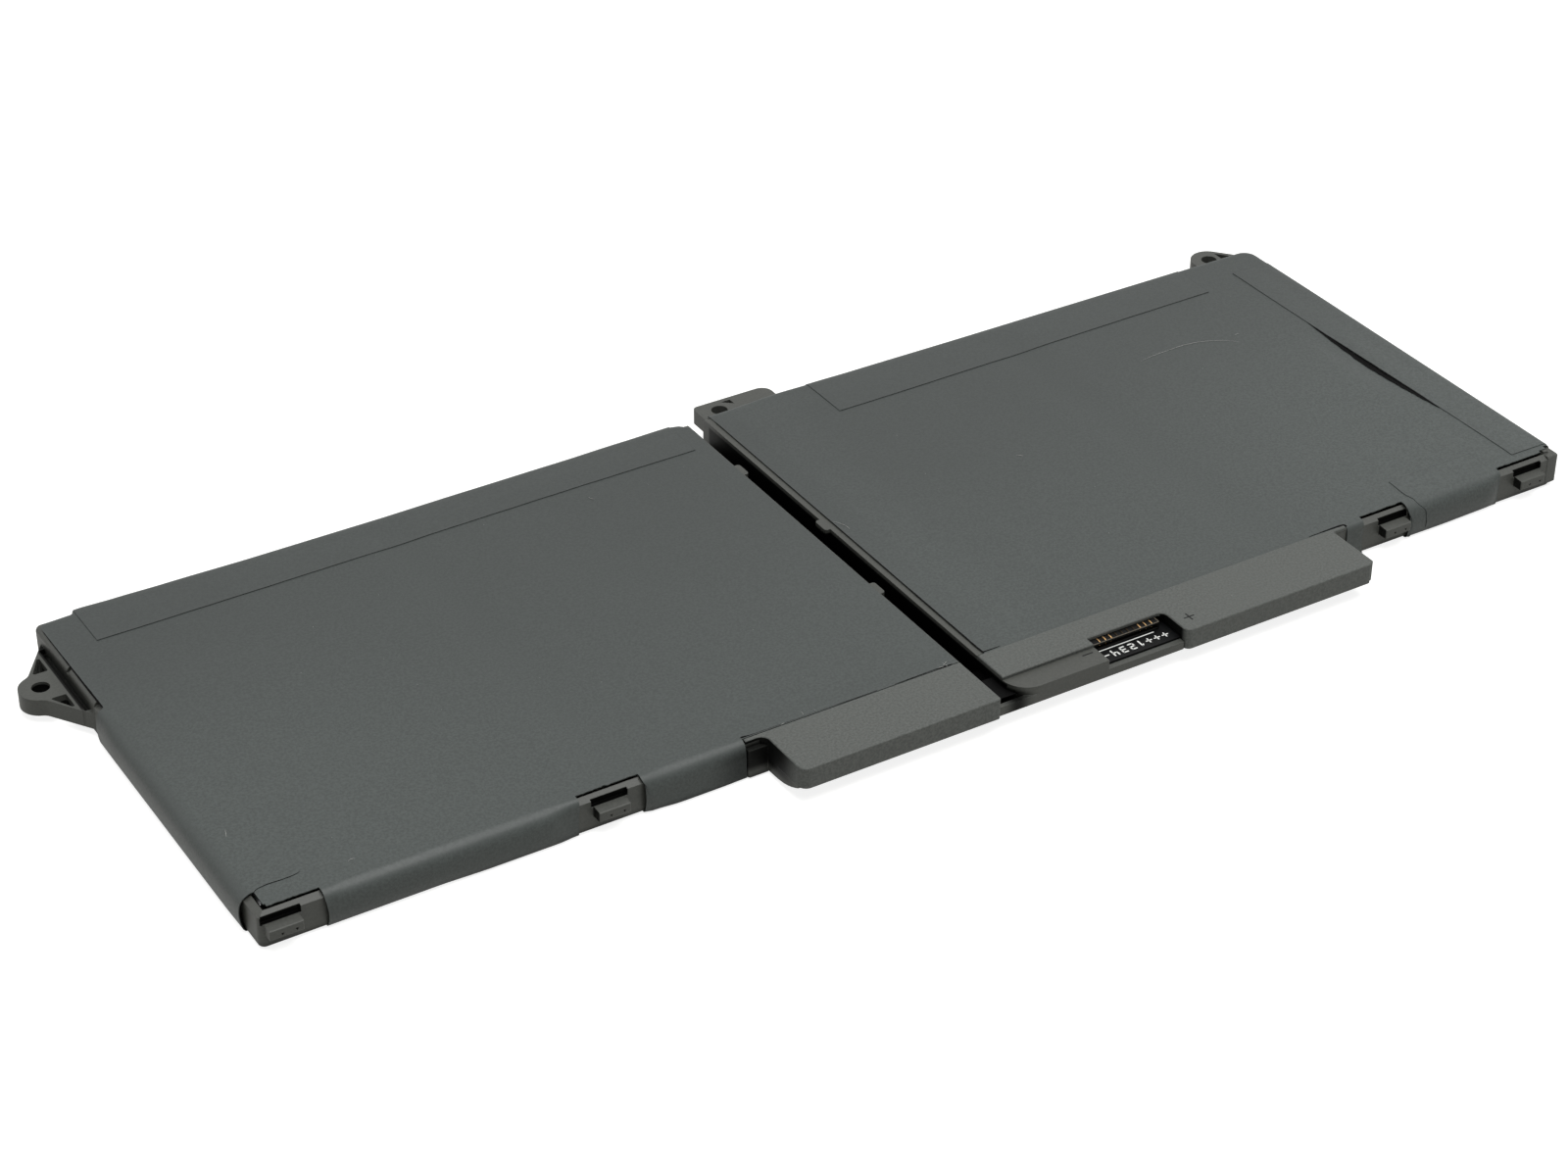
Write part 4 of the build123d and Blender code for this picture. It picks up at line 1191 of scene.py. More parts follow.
@dataclass
class FilmWrap:
    """Film of one pack, over its top, down its walls and turned in under it.

    Attributes:
        node: CAD node that it stands for.
        skin: Its outer surface.
        windows: Cuts in its front.
        housing: X range where a housing takes the place of its front wall.
        wall_gaps: Openings in the back wall, as X and Z ranges.
        bare_rim: Y from which its outer wall is cut away, or None.
        bare_rim_along: Distance down the film at which it is cut there.
        joint_faces: Faces that are kept behind the housing.
        thickness: Thickness of the film.
        grid, fine: Distance between grid lines, and near the windows.
    """

    node: str
    skin: Skin
    windows: tuple[Window, ...]
    housing: Pair
    wall_gaps: tuple[tuple[float, float, float, float], ...] = ()
    bare_rim: Optional[float] = None
    bare_rim_along: float = 1.3
    joint_faces: int = 2
    thickness: float = 0.14
    grid: float = 1.3
    fine: float = 0.35

    def stops(self, roll: float) -> list[float]:
        """Distances down the film at which an edge section has a point.

        Args:
            roll: Radius of the film's turn.

        Returns:
            The distances, from the first past the flat top.
        """
        skin = self.skin
        flat, start = skin.corner - roll, skin.wall_start(roll)
        end, last = skin.wall_end(roll), skin.turn_end(roll)
        return [flat * 0.52, *spaced(flat, start, 6), *spaced(start, end, 9)[1:], *spaced(end, last, 3)[1:]]

    def columns(self) -> list[float]:
        """X of the grid lines, with finer ones across the windows.

        Returns:
            The places, rising.
        """
        skin = self.skin
        low, high = sorted((skin.flat_edge(Edge.OUTER), skin.inner))
        marks = [limit for window in self.windows for limit in window.top]
        marks += [limit for gap in self.wall_gaps for limit in gap[:2]] + list(self.housing)
        found = steps(low, high, self.grid, marks)
        extra = []
        for window in self.windows:
            start, end = max(window.top[0] - 1.5, low), min(window.top[1] + 1.5, high)
            extra += steps(start, end, self.fine, window.top)
        for start, end in zip(skin.front_bulge.stops, skin.front_bulge.stops[1:]):
            if abs(start[1] - end[1]) > 0.2:
                extra += steps(max(start[0], low), min(end[0], high), 0.5)
        return self.thinned(found + extra, marks, low, high)

    def lines(self) -> list[float]:
        """Y of the grid lines, with finer ones near the front.

        Returns:
            The places, rising.
        """
        skin = self.skin
        low, high = skin.flat_edge(Edge.FRONT), skin.flat_edge(Edge.BACK)
        marks = [skin.front + window.depth for window in self.windows]
        marks += [skin.front + window.flank for window in self.windows if window.flank]
        if self.bare_rim is not None:
            marks.append(self.bare_rim)
        return self.thinned(
            steps(low, high, self.grid, marks) + steps(low, low + 3.0, 0.4, marks[:1]), marks, low, high
        )

    @staticmethod
    def thinned(values: Iterable[float], marks: Sequence[float], low: float, high: float) -> list[float]:
        """Sorted positions without near neighbours; limits and marks always stay.

        Args:
            values: All positions.
            marks: Those that have to stay.
            low, high: Limits.

        Returns:
            What is kept.
        """
        fixed = {round(value, 4) for value in (*marks, low, high) if low <= value <= high}
        kept = sorted(fixed)
        for value in sorted({round(value, 4) for value in values} - fixed):
            if low < value < high and min(abs(value - other) for other in kept) > 0.16:
                kept.append(value)
        return sorted(kept)

    def cut_top(self, x: float, y: float) -> bool:
        """True where a window takes the film's top away."""
        return any(window.spans(x) and y < self.skin.front + window.depth for window in self.windows)

    def ragged(self, x: float, y: float) -> Vector:
        """Small offset that makes a cut edge uneven, 0 away from the windows' edges.

        Args:
            x, y: Place on the top.

        Returns:
            The offset, in millimetres.
        """
        shift = Vector((0.0, 0.0, 0.0))
        for window in self.windows:
            if window.spans(x) and abs(y - self.skin.front - window.depth) < 0.1:
                shift.y += window.ragged * (ripple(x, y, 1.9, 3.0) + 0.6 * ripple(x, y, 5.1, 9.0))
        return shift

    def face_shift(self, x: float, along: float) -> float:
        """Sideways shift of a window's edge as it runs down the front wall.

        Args:
            x: X of a grid line.
            along: Distance down the film.

        Returns:
            The shift along X.
        """
        down = ease(along, 1.2, 6.0)
        for window in self.windows:
            for top, face in zip(window.top, window.face):
                if abs(x - top) < 0.03:
                    return (face - top) * down + 0.08 * ripple(top, along, 0.9, 4.0)
        return 0.0

    def build(self) -> Patch:
        """Make the whole surface as one patch.

        Returns:
            The surface, without its thickness.
        """
        skin, patch = self.skin, Patch()
        columns, lines = self.columns(), self.lines()
        if skin.side > 0:
            columns = columns[::-1]
        top = [[patch.add(skin.surface(x, y), fold_wear(0.0)) for y in lines] for x in columns]
        for index, (one, other) in enumerate(zip(top, top[1:])):
            middle = (columns[index] + columns[index + 1]) / 2
            cut = frozenset(
                number for number in range(len(lines) - 1)
                if self.cut_top(middle, (lines[number] + lines[number + 1]) / 2)
            )
            patch.join(one, other, cut)
        self.add_edge(patch, Edge.FRONT, columns, [row[0] for row in top])
        self.add_edge(patch, Edge.BACK, columns, [row[-1] for row in top])
        self.add_edge(patch, Edge.OUTER, lines, top[0])
        self.add_corner(patch, Edge.FRONT, top[0][0])
        self.add_corner(patch, Edge.BACK, top[0][-1])
        return patch

    def add_edge(self, patch: Patch, edge: Edge, places: Sequence[float], starts: Sequence[int]) -> None:
        """Add the film's turn over one straight edge.

        Args:
            patch: Where it goes.
            edge: The edge.
            places: Places along it.
            starts: Numbers of the flat top's last points there.
        """
        skin = self.skin
        direction = skin.direction(edge)
        nexts = (Edge.FRONT, Edge.BACK) if edge is Edge.OUTER else (Edge.OUTER,)
        sections = []
        for place, start in zip(places, starts):
            row = [start]
            base = skin.base(edge, place)
            roll = skin.radius(base, direction)
            under = skin.turn_end(roll) + skin.corner - skin.foot
            reach = min(skin.flange, *(abs(place - skin.flat_edge(other)) for other in nexts))
            for along in (*self.stops(roll), under, under + reach):
                point = skin.fold(base, direction, along)
                if edge is Edge.FRONT:
                    point.x += self.face_shift(place, along)
                    point += self.ragged(place, point.y)
                row.append(patch.add(point, fold_wear(along)))
            sections.append((place, row))
        for (one, first), (other, second) in zip(sections, sections[1:]):
            patch.join(first, second, self.openings(edge, (one + other) / 2, patch, first))

    def openings(self, edge: Edge, place: float, patch: Patch, row: Sequence[int]) -> frozenset[int]:
        """Numbers of the faces that an edge section leaves out.

        Args:
            edge: The edge.
            place: Place along it, in the middle of a face.
            patch: Gives the points.
            row: Numbers of the section's points.

        Returns:
            The numbers.
        """
        every = frozenset(range(len(row) - 1))
        if edge is Edge.FRONT:
            if self.housing[0] < place < self.housing[1]:
                return every - frozenset(range(self.joint_faces))
            return every - {0} if any(window.spans(place) for window in self.windows) else frozenset()
        if edge is Edge.OUTER:
            flank = max((window.flank for window in self.windows), default=0.0)
            if place < self.skin.front + flank:
                return every - {0}
            if self.bare_rim is not None and place > self.bare_rim:
                return self.beyond(self.bare_rim_along, row)
            return frozenset()
        middles = {index: (patch.points[row[index]].z + patch.points[row[index + 1]].z) / 2 for index in every}
        return frozenset(
            index for low_x, high_x, low_z, high_z in self.wall_gaps if low_x < place < high_x
            for index in every if low_z < middles[index] < high_z
        )

    def beyond(self, along: float, row: Sequence[int]) -> frozenset[int]:
        """Numbers of the faces past a distance down the film.

        Args:
            along: The distance.
            row: Numbers of the section's points.

        Returns:
            The numbers.
        """
        marks = [0.0, *self.stops(self.skin.back_roll)]
        return frozenset(index for index in range(len(row) - 1) if index >= len(marks) or marks[index] >= along - 0.1)

    def add_corner(self, patch: Patch, edge: Edge, start: int, turns: int = 6) -> None:
        """Add the film's turn around one rounded corner of the pack.

        Args:
            patch: Where it goes.
            edge: Front or back.
            start: Number of the flat top's corner.
            turns: Faces around the corner.
        """
        skin = self.skin
        if edge is Edge.FRONT and any(window.flank for window in self.windows):
            return
        rows = []
        for angle in spaced(0.0, math.pi / 2, turns):
            direction = (skin.side * math.cos(angle), edge.value[1] * math.sin(angle))
            base = skin.corner_base(edge, direction)
            roll = skin.radius(base, direction)
            ends = [*self.stops(roll), skin.turn_end(roll) + skin.corner - skin.foot]
            rows.append([start, *(patch.add(skin.fold(base, direction, along), fold_wear(along)) for along in ends)])
        bare = edge is Edge.BACK and self.bare_rim is not None
        for one, other in zip(rows, rows[1:]):
            patch.join(one, other, self.beyond(self.bare_rim_along, one) if bare else frozenset())

    def make(self, finishes: Finishes) -> None:
        """Build, thicken and dress the film.

        Args:
            finishes: Materials.
        """
        item = Bench.mesh(self.node + "_wrap", self.build(), facing_up=True, merged=WELD_DISTANCE)
        Bench.thicken(item, self.thickness)
        for point in item.data.vertices:
            point.co.z = max(point.co.z, 0.0)
        Bench.finish(item, finishes.film, "film", (self.node,))


@dataclass
class TapeStrip:
    """A strip of tape that lies on a film and turns down over one edge.

    Attributes:
        node: CAD node that it stands for.
        skin: Film surface below it.
        edge: Edge that it turns over.
        span: Range along that edge.
        depth: How far it reaches over the top, from the pack's face, along the edge.
        low: Height where it ends on the wall.
        lift_peak: How far its free edge stands up half way along, in millimetres.
        lift_range: Range along the edge in which it stands up.
        start_curve: How far its first end moves as it runs from the top down the wall.
        thickness: Thickness of the tape.
        step: Distance between its sections.
        border: Distance from its edges to the next row of points.
        rows_on_top, rows_on_wall: Faces from the free edge to the turn, and down the wall.
    """

    node: str
    skin: Skin
    edge: Edge
    span: Pair
    depth: Stations
    low: float = 2.1
    lift_peak: float = 0.0
    lift_range: Pair = (0.0, 1.0)
    start_curve: Stations = level(0.0)
    thickness: float = 0.1
    step: float = 1.3
    border: float = 0.16
    rows_on_top: int = 6
    rows_on_wall: int = 6

    def alongs(self, place: float) -> list[float]:
        """Distances down the film of the strip's points at one place along the edge.

        Args:
            place: Place along the edge.

        Returns:
            The distances, from the free edge on.
        """
        skin = self.skin
        base = skin.base(self.edge, place)
        roll = skin.radius(base, skin.direction(self.edge))
        spread = abs(base[0 if self.edge is Edge.OUTER else 1] - skin.flat_edge(self.edge))
        start = skin.corner - self.depth.at(place) - spread
        flat, bend = skin.corner - roll, skin.wall_start(roll)
        end = bend + skin.top - roll - self.low
        top = spaced(start + self.border, 0.0, self.rows_on_top)
        wall = spaced(bend, end - self.border, self.rows_on_wall)[1:]
        return [start, *top, *spaced(flat, bend, 5), *wall, end]

    def raised(self, place: float, from_edge: float) -> float:
        """Extra height of the strip over the film at a distance from its free edge.

        Args:
            place: Place along the edge.
            from_edge: Distance from the free edge.

        Returns:
            The height.
        """
        if self.lift_peak == 0.0:
            return 0.0
        low, high = self.lift_range
        share = min(max((place - low) / (high - low), 0.0), 1.0)
        swing = math.sin(math.pi * share) ** 1.5
        return self.lift_peak * swing * (1 - ease(from_edge, 0.0, 5.5)) ** 1.5

    def build(self) -> Patch:
        """Make the strip as one patch.

        Returns:
            The upper surface.
        """
        skin, patch = self.skin, Patch()
        low, high = self.span
        places = [low, *steps(low + self.border, high - self.border, self.step), high]
        rows = []
        for index, place in enumerate(places):
            row = []
            alongs = self.alongs(place)
            for number, along in enumerate(alongs):
                at_end = index in (0, len(places) - 1) and number <= self.rows_on_top
                edge_near = at_end or number == 0
                wave = 0.05 * ripple(place, along, 0.25, 21.0) if number == 0 else 0.0
                where = place + self.start_curve.at(along) * (1 - ease(place - low, 0.0, 9.0))
                lift = self.thickness + self.raised(where, along - alongs[0])
                point = skin.fold(skin.base(self.edge, where), skin.direction(self.edge), along + wave, lift)
                row.append(patch.add(point, -1.0 if edge_near else 0.6 * fold_wear(along)))
            rows.append(row)
        patch.sheet(rows)
        return patch

    def make(self, finishes: Finishes) -> None:
        """Build, thicken and dress the strip.

        Args:
            finishes: Materials.
        """
        item = Bench.mesh(self.node + "_strip", self.build(), facing_up=True)
        Bench.thicken(item, self.thickness - 0.01)
        Bench.finish(item, finishes.tape, "tape", (self.node,))


@dataclass
class SlitAndShadow:
    """A thin dark line on a film; most are cuts and gaps, one is a painted shadow under the side tape's lifted edge.

    Attributes:
        name: Name of the piece.
        skin: Film that it lies on.
        points: X and Y of its course over the top.
        width: Greatest width.
        early: Less than 1 where it is widest near its start, more where near its end.
        rise: Height over the film.
    """

    name: str
    skin: Skin
    points: tuple[Pair, ...]
    width: float = 0.14
    early: float = 1.0
    rise: float = 0.035

    def course(self, parts: int = 10) -> list[Vector]:
        """Smooth course through the points, by Catmull-Rom arcs.

        Args:
            parts: Steps from one point to the next.

        Returns:
            Points of the course.
        """
        ends = [self.points[0], *self.points, self.points[-1]]
        found = []
        for before, start, end, after in zip(ends, ends[1:], ends[2:], ends[3:]):
            for t in spaced(0.0, 1.0, parts)[:-1]:
                found.append(Vector([
                    0.5 * (
                        2 * b + (c - a) * t + (2 * a - 5 * b + 4 * c - d) * t * t + (3 * b - a - 3 * c + d) * t ** 3
                    ) for a, b, c, d in zip(before, start, end, after)
                ]))
        found.append(Vector(self.points[-1]))
        return found

    def make(self, finishes: Finishes) -> None:
        """Build and dress the line.

        Args:
            finishes: Materials.
        """
        patch, course = Patch(), self.course()
        left, right = [], []
        for index, point in enumerate(course):
            before, after = course[max(index - 1, 0)], course[min(index + 1, len(course) - 1)]
            along = (after - before).normalized()
            across = Vector((-along.y, along.x))
            share = index / (len(course) - 1)
            shape = 0.22 + 0.78 * math.sin(math.pi * share ** self.early)
            half = self.width / 2 * shape * (1 + 0.4 * ripple(*point, 2.3, 2.0))
            for row, sign in ((left, 1), (right, -1)):
                place = point + across * (half * sign)
                row.append(patch.add(self.skin.drape(place.x, place.y, self.rise)))
        patch.join(left, right)
        item = Bench.mesh(self.name, patch, facing_up=True)
        Bench.thicken(item, 0.02)
        Bench.finish(item, finishes.void, "film")


# Geometry Nodes


class Graph(Tree):
    """A Geometry Nodes tree with named inputs."""

    def __init__(self, name: str) -> None:
        """Start a tree that takes and gives geometry.

        Args:
            name: Name of the tree.
        """
        super().__init__(bpy.data.node_groups.new(name, "GeometryNodeTree"))
        self.tree.is_modifier = True
        self.names: dict[str, str] = {}
        for way in ("INPUT", "OUTPUT"):
            self.tree.interface.new_socket(name="Geometry", in_out=way, socket_type="NodeSocketGeometry")
        self.start, self.end = self.node("NodeGroupInput"), self.node("NodeGroupOutput")

    def input(self, name: str, kind: str = "NodeSocketFloat") -> Socket:
        """Add a named input.

        Args:
            name: Its name.
            kind: Type of its socket.

        Returns:
            Its socket inside the tree.
        """
        item = self.tree.interface.new_socket(name=name, in_out="INPUT", socket_type=kind)
        self.names[name] = item.identifier
        return next(socket for socket in self.start.outputs if socket.identifier == item.identifier)

    def close(self, instances: Socket, material: Material) -> None:
        """End the tree with Realize Instances and Set Material.

        Args:
            instances: What the tree made.
            material: Its finish.
        """
        real = self.node("GeometryNodeRealizeInstances", {}, {0: instances})
        dressed = self.node("GeometryNodeSetMaterial", {}, {0: real.outputs[0], "Material": material})
        self.tree.links.new(dressed.outputs[0], self.end.inputs[0])

    def run(self, item: Piece, values: dict[str, Union[Number, Sequence[float]]]) -> None:
        """Set a modifier's inputs by identifier and turn its result into a plain mesh.

        Args:
            item: The piece.
            values: Values of the tree's inputs, by name.
        """
        modifier = item.modifiers.new("repeat", "NODES")
        modifier.node_group = self.tree
        for name, value in values.items():
            modifier[self.names[name]] = value
        Bench.settle(item)


@dataclass
class SpringRow:
    """Row of bent leaf contacts in the connector, by Geometry Nodes.

    Attributes:
        first: X, Y and Z of the first contact's root.
        count: Number of contacts.
        pitch: Distance between neighbours.
        width, thickness: Section of a leaf.
        profile: Y and Z of the leaf's bends from its root.
    """

    first: Triple
    count: int
    pitch: float
    width: float = 0.36
    thickness: float = 0.12
    profile: tuple[Pair, ...] = (
        (0.9, 0.0), (0.30, 0.0), (0.10, -0.06), (0.02, -0.22), (0.08, -0.40), (0.26, -0.48)
    )

    def make(self, finishes: Finishes) -> None:
        """Sweep one leaf along its bends and repeat it.

        Args:
            finishes: Materials.
        """
        x, y, z = self.first
        bends = [Vector((x, y + dy, z + dz)) * MM for dy, dz in self.profile]
        mesh = bpy.data.meshes.new("connector_springs")
        mesh.from_pydata(bends, [(index, index + 1) for index in range(len(bends) - 1)], [])
        item = Bench.place("connector_springs", mesh)
        graph = Graph("spring_row")
        width, thickness = graph.input("Leaf Width"), graph.input("Leaf Thickness")
        count, pitch = graph.input("Count", "NodeSocketInt"), graph.input("Pitch", "NodeSocketVector")
        path = graph.node("GeometryNodeMeshToCurve", {}, {0: graph.start.outputs[0]})
        sides = {"Width": thickness, "Height": width}
        section = graph.node("GeometryNodeCurvePrimitiveQuadrilateral", {"mode": "RECTANGLE"}, sides)
        upright = graph.node("GeometryNodeSetCurveNormal", {"mode": "Z_UP"}, {0: path.outputs[0]})
        sweep = {"Curve": upright.outputs[0], "Profile Curve": section.outputs[0], "Fill Caps": True}
        leaf = graph.node("GeometryNodeCurveToMesh", {}, sweep)
        places = graph.node("GeometryNodeMeshLine", {"mode": "OFFSET"}, {"Count": count, "Offset": pitch})
        repeat = {"Points": places.outputs[0], "Instance": leaf.outputs[0]}
        row = graph.node("GeometryNodeInstanceOnPoints", {}, repeat)
        graph.close(row.outputs[0], finishes.gold)
        graph.run(item, {
            "Leaf Width": self.width * MM, "Leaf Thickness": self.thickness * MM,
            "Count": self.count, "Pitch": (self.pitch * MM, 0.0, 0.0),
        })
        Bench.finish(item, finishes.gold, "contact_metal", ("connector_contacts",))


@dataclass
class Lint:
    """Dust flakes that lie on a sheet, scattered by Geometry Nodes.

    Attributes:
        name: Name of the piece.
        skin: Film below.
        field: X and Y ranges of the area.
        density: Flakes for each square metre.
        seed: Fixed seed.
        size, smallest: Length of the largest flake, and the smallest as a share of it.
        flatness: Its sides, as shares of its length.
        tilt, turn: Greatest tilt and turn, in radians.
    """

    name: str
    skin: Skin
    field: tuple[float, float, float, float]
    density: float
    seed: int
    size: float = 0.16
    smallest: float = 0.35
    flatness: Triple = (1.0, 0.45, 0.18)
    tilt: float = 0.2
    turn: float = 6.28

    def make(self, finishes: Finishes) -> None:
        """Scatter and dress the flakes.

        Args:
            finishes: Materials.
        """
        patch = Patch()
        low_x, high_x, low_y, high_y = self.field
        lines = steps(low_y, high_y, 2.0)
        patch.sheet([patch.row(self.skin.surface(x, y, 0.015) for y in lines) for x in steps(low_x, high_x, 2.0)])
        item = Bench.mesh(self.name, patch, facing_up=True)
        graph = Graph(self.name)
        density, size = graph.input("Density"), graph.input("Flake Size")
        seed = graph.input("Seed", "NodeSocketInt")
        area = {"Mesh": graph.start.outputs[0], "Density": density, "Seed": seed}
        spread = graph.node("GeometryNodeDistributePointsOnFaces", {"distribute_method": "RANDOM"}, area)
        flake = graph.node("GeometryNodeMeshIcoSphere", {}, {"Radius": size, "Subdivisions": 1})
        flat = graph.node("GeometryNodeTransform", {}, {"Geometry": flake.outputs[0], "Scale": self.flatness})
        tilts = {0: (-self.tilt, -self.tilt, 0.0), 1: (self.tilt, self.tilt, self.turn), "Seed": seed}
        turn = graph.node("FunctionNodeRandomValue", {"data_type": "FLOAT_VECTOR"}, tilts)
        grow = graph.node("FunctionNodeRandomValue", {"data_type": "FLOAT"}, {2: self.smallest, 3: 1.0, "Seed": seed})
        where = {"Points": spread.outputs[0], "Rotation": turn.outputs[0], "Scale": grow.outputs[1]}
        placed = graph.node("GeometryNodeInstanceOnPoints", {}, {**where, "Instance": flat.outputs[0]})
        graph.close(placed.outputs[0], finishes.lint)
        graph.run(item, {"Density": self.density, "Flake Size": self.size * MM / 2, "Seed": self.seed})
        Bench.finish(item, finishes.lint, "film", smooth=False)


# Sub-assemblies


@dataclass
class Packs:
    """Both films with their tapes, slits, fibres and dust.

    Attributes:
        left_box, right_box: Boxes of the CAD films.
        left_seam, right_seam: X of the gap between the two cells of each pack.
        wall_inset: How far the frame's front wall lies behind the film's face.
        front: Y of that wall.
        left, right: Outer surfaces of the films.
    """

    left_box: tuple[Vector, Vector]
    right_box: tuple[Vector, Vector]
    left_seam: float = -54.5
    right_seam: float = 62.2
    wall_inset: float = 0.15
    front: float = field(init=False)
    left: Skin = field(init=False)
    right: Skin = field(init=False)

    def __post_init__(self) -> None:
        """Work out both skins from the CAD films' boxes."""
        (left_low, left_high), (right_low, right_high) = self.left_box, self.right_box
        self.front = left_low.y + self.wall_inset
        self.left = Skin(
            outer=left_low.x, inner=left_high.x, front=left_low.y, back=left_high.y, top=left_high.z,
            seam=self.left_seam, seed=1.7,
            front_bulge=Stations((
                (-106.0, 0.72), (-100.0, 0.72), (-68.0, 0.68), (-62.6, 0.05), (-57.0, 0.0),
                (-52.0, 0.7), (-40.0, 0.62), (-36.0, 0.5),
            )),
            side_bulge=Stations(((-33.0, 0.75), (12.0, 0.75), (17.5, 0.6))),
            front_foot=Stations((
                (-106.0, 0.0), (-85.0, 0.0), (-76.0, 0.28), (-66.0, 0.3), (-62.6, 0.05), (-52.2, 0.1),
                (-50.5, 0.45), (-46.0, 0.8), (-40.0, 0.8), (-35.3, 0.7),
            )),
            side_foot=Stations(((-33.0, 0.15), (-27.0, 0.25), (17.5, 0.22))),
            front_roll=Stations((
                (-101.8, 1.0), (-97.0, 1.5), (-68.0, 1.5), (-62.3, 1.0), (-52.2, 1.0), (-48.0, 1.5), (-38.0, 1.3),
                (-35.3, 0.95),
            )),
            side_roll=Stations(((-33.0, 1.5), (-28.0, 1.8), (9.0, 1.8), (16.5, 1.0), (17.5, 0.95))),
            back_spread=Stations((
                (-109.5, -0.25), (-105.5, -0.1), (-104.6, 0.85), (-98.0, 0.6), (-90.0, 0.4), (-75.0, 0.12),
                (-55.0, 0.1), (-38.0, 0.3), (-22.0, 0.42), (-10.0, 0.65), (-0.8, 0.8), (0.9, 0.35), (2.2, -0.9),
            )),
            side_spread=level(0.0),
            dips=((-30.0, 10.0, 14.0, 26.0, 0.05), (-88.0, -8.0, 18.0, 20.0, 0.04), (-70.0, 28.0, 16.0, 9.0, 0.03)),
        )
        self.right = Skin(
            outer=right_high.x, inner=right_low.x, front=right_low.y, back=right_high.y, top=right_high.z,
            seam=self.right_seam, seed=4.3,
            front_bulge=Stations((
                (77.0, 0.08), (79.5, 0.0), (86.5, 0.7), (89.0, 0.72), (105.4, 0.66), (106.9, 0.1), (118.0, 0.0),
            )),
            side_bulge=level(0.1),
            front_foot=Stations(((75.5, 0.8), (78.9, 0.5), (87.6, 0.2), (95.0, 0.25), (104.0, 0.1), (106.0, 0.0))),
            side_foot=level(0.0),
            front_roll=Stations(((76.0, 0.95), (87.6, 1.0), (91.0, 1.4), (103.0, 1.4), (107.2, 1.0))),
            side_roll=level(0.95),
            back_spread=Stations(((8.0, 0.5), (21.0, 1.1), (27.0, 0.95), (35.0, 0.8), (60.0, 0.65), (110.0, 0.6))),
            side_spread=Stations(((-34.0, 0.98), (20.0, 0.88), (41.0, 0.75))),
            dips=((110.2, 2.0, 4.2, 19.0, 0.24), (28.0, 5.0, 12.0, 24.0, 0.04), (90.0, -14.0, 14.0, 12.0, 0.04)),
            front_drop=0.02,
        )

    def films(self) -> list[FilmWrap]:
        """Both wraps with their cuts.

        Returns:
            The left and the right one.
        """
        left, right = self.left, self.right
        return [
            FilmWrap(
                "left_film", left,
                (
                    Window((left.outer, -101.8), (left.outer, -101.5), 1.5, flank=5.0),
                    Window((-62.3, -52.2), (-62.6, -51.1), 1.5, 0.16),
                ),
                housing=(-35.3, 3.0),
                bare_rim=self.front + 55.4,
            ),
            FilmWrap(
                "right_film", right,
                (
                    Window((78.9, 87.6), (78.7, 88.6), 1.5, 0.14),
                    Window((107.2, right.outer), (106.9, right.outer), 1.5, flank=2.7),
                ),
                housing=(5.0, 75.5),
                joint_faces=3,
                wall_gaps=((5.8, 20.7, 2.8, 5.85), (108.0, 117.7, 2.8, 5.85)),
            ),
        ]

    def tapes(self) -> list[TapeStrip]:
        """The four strips.

        Returns:
            The strips.
        """
        left, right = self.left, self.right
        return [
            TapeStrip(
                "left_back_tape", left, Edge.BACK, (-104.9, -0.7),
                Stations(((-104.9, 9.4), (-0.7, 8.4))),
            ),
            TapeStrip(
                "right_back_tape", right, Edge.BACK, (26.1, 103.5),
                Stations(((26.1, 10.0), (103.5, 9.0))),
            ),
            TapeStrip(
                "right_side_tape", right, Edge.OUTER, (-34.9, 37.9),
                Stations(((-34.9, 6.7), (37.9, 7.6))), lift_peak=0.165, lift_range=(-18.0, 18.0),
            ),
            TapeStrip(
                "right_front_tape", right, Edge.FRONT, (89.6, 106.4), level(7.0), low=1.3,
                start_curve=Stations(((-5.1, 0.0), (-1.1, -0.25), (1.4, 0.2), (3.2, 1.6), (5.6, 1.9))),
            ),
        ]

    def slits(self) -> list[SlitAndShadow]:
        """Dark cut lines on the tops, and a painted shadow under the side tape's lifted edge.

        Returns:
            The lines.
        """
        rim, slot = self.left.outer, self.right.inner
        return [
            SlitAndShadow("left_corner_slit", self.left, (
                (-110.1, -33.75), (-109.4, -32.85), (-107.6, -32.55), (-105.4, -32.65), (-103.4, -32.55),
                (-102.6, -32.25),
            )),
            SlitAndShadow("left_housing_slit", self.left, (
                (-35.3, -36.75), (-33.6, -36.95), (-31.0, -36.98), (-22.0, -37.0), (-12.0, -37.0),
            ), 0.42, 0.3),
            SlitAndShadow("left_joint_slit", self.left, ((1.2, -37.05), (-1.6, -37.0), (-5.0, -37.0), (-9.0, -37.0)), 0.3, 0.6),
            SlitAndShadow("left_rim_slit", self.left, (
                (rim + 0.80, 17.6), (rim + 0.74, 24.0), (rim + 0.7, 32.0), (rim + 0.68, 40.6),
            ), 0.26, 0.4, 0.05),
            SlitAndShadow("right_slot_slit", self.right, (
                (slot + 3.2, -36.95), (slot + 0.5, -36.9), (slot + 0.06, -36.4), (slot + 0.02, -30.0),
                (slot + 0.02, -10.0), (slot, 15.0), (slot, 41.0),
            ), 0.24, 0.6),
            # Painted shadow: a dark strip on the film under the side tape's lifted edge.
            SlitAndShadow("right_tape_shadow", self.right, (
                (111.6, 17.0), (111.3, 8.0), (111.2, -0.4), (111.45, -9.0), (112.0, -17.2),
            ), 1.1, rise=0.09),
            SlitAndShadow("right_wing_slit", self.right, (
                (68.5, -37.12), (71.8, -37.1), (74.2, -37.1), (75.3, -37.25), (75.55, -37.75),
            ), 0.4, 1.3),
        ]

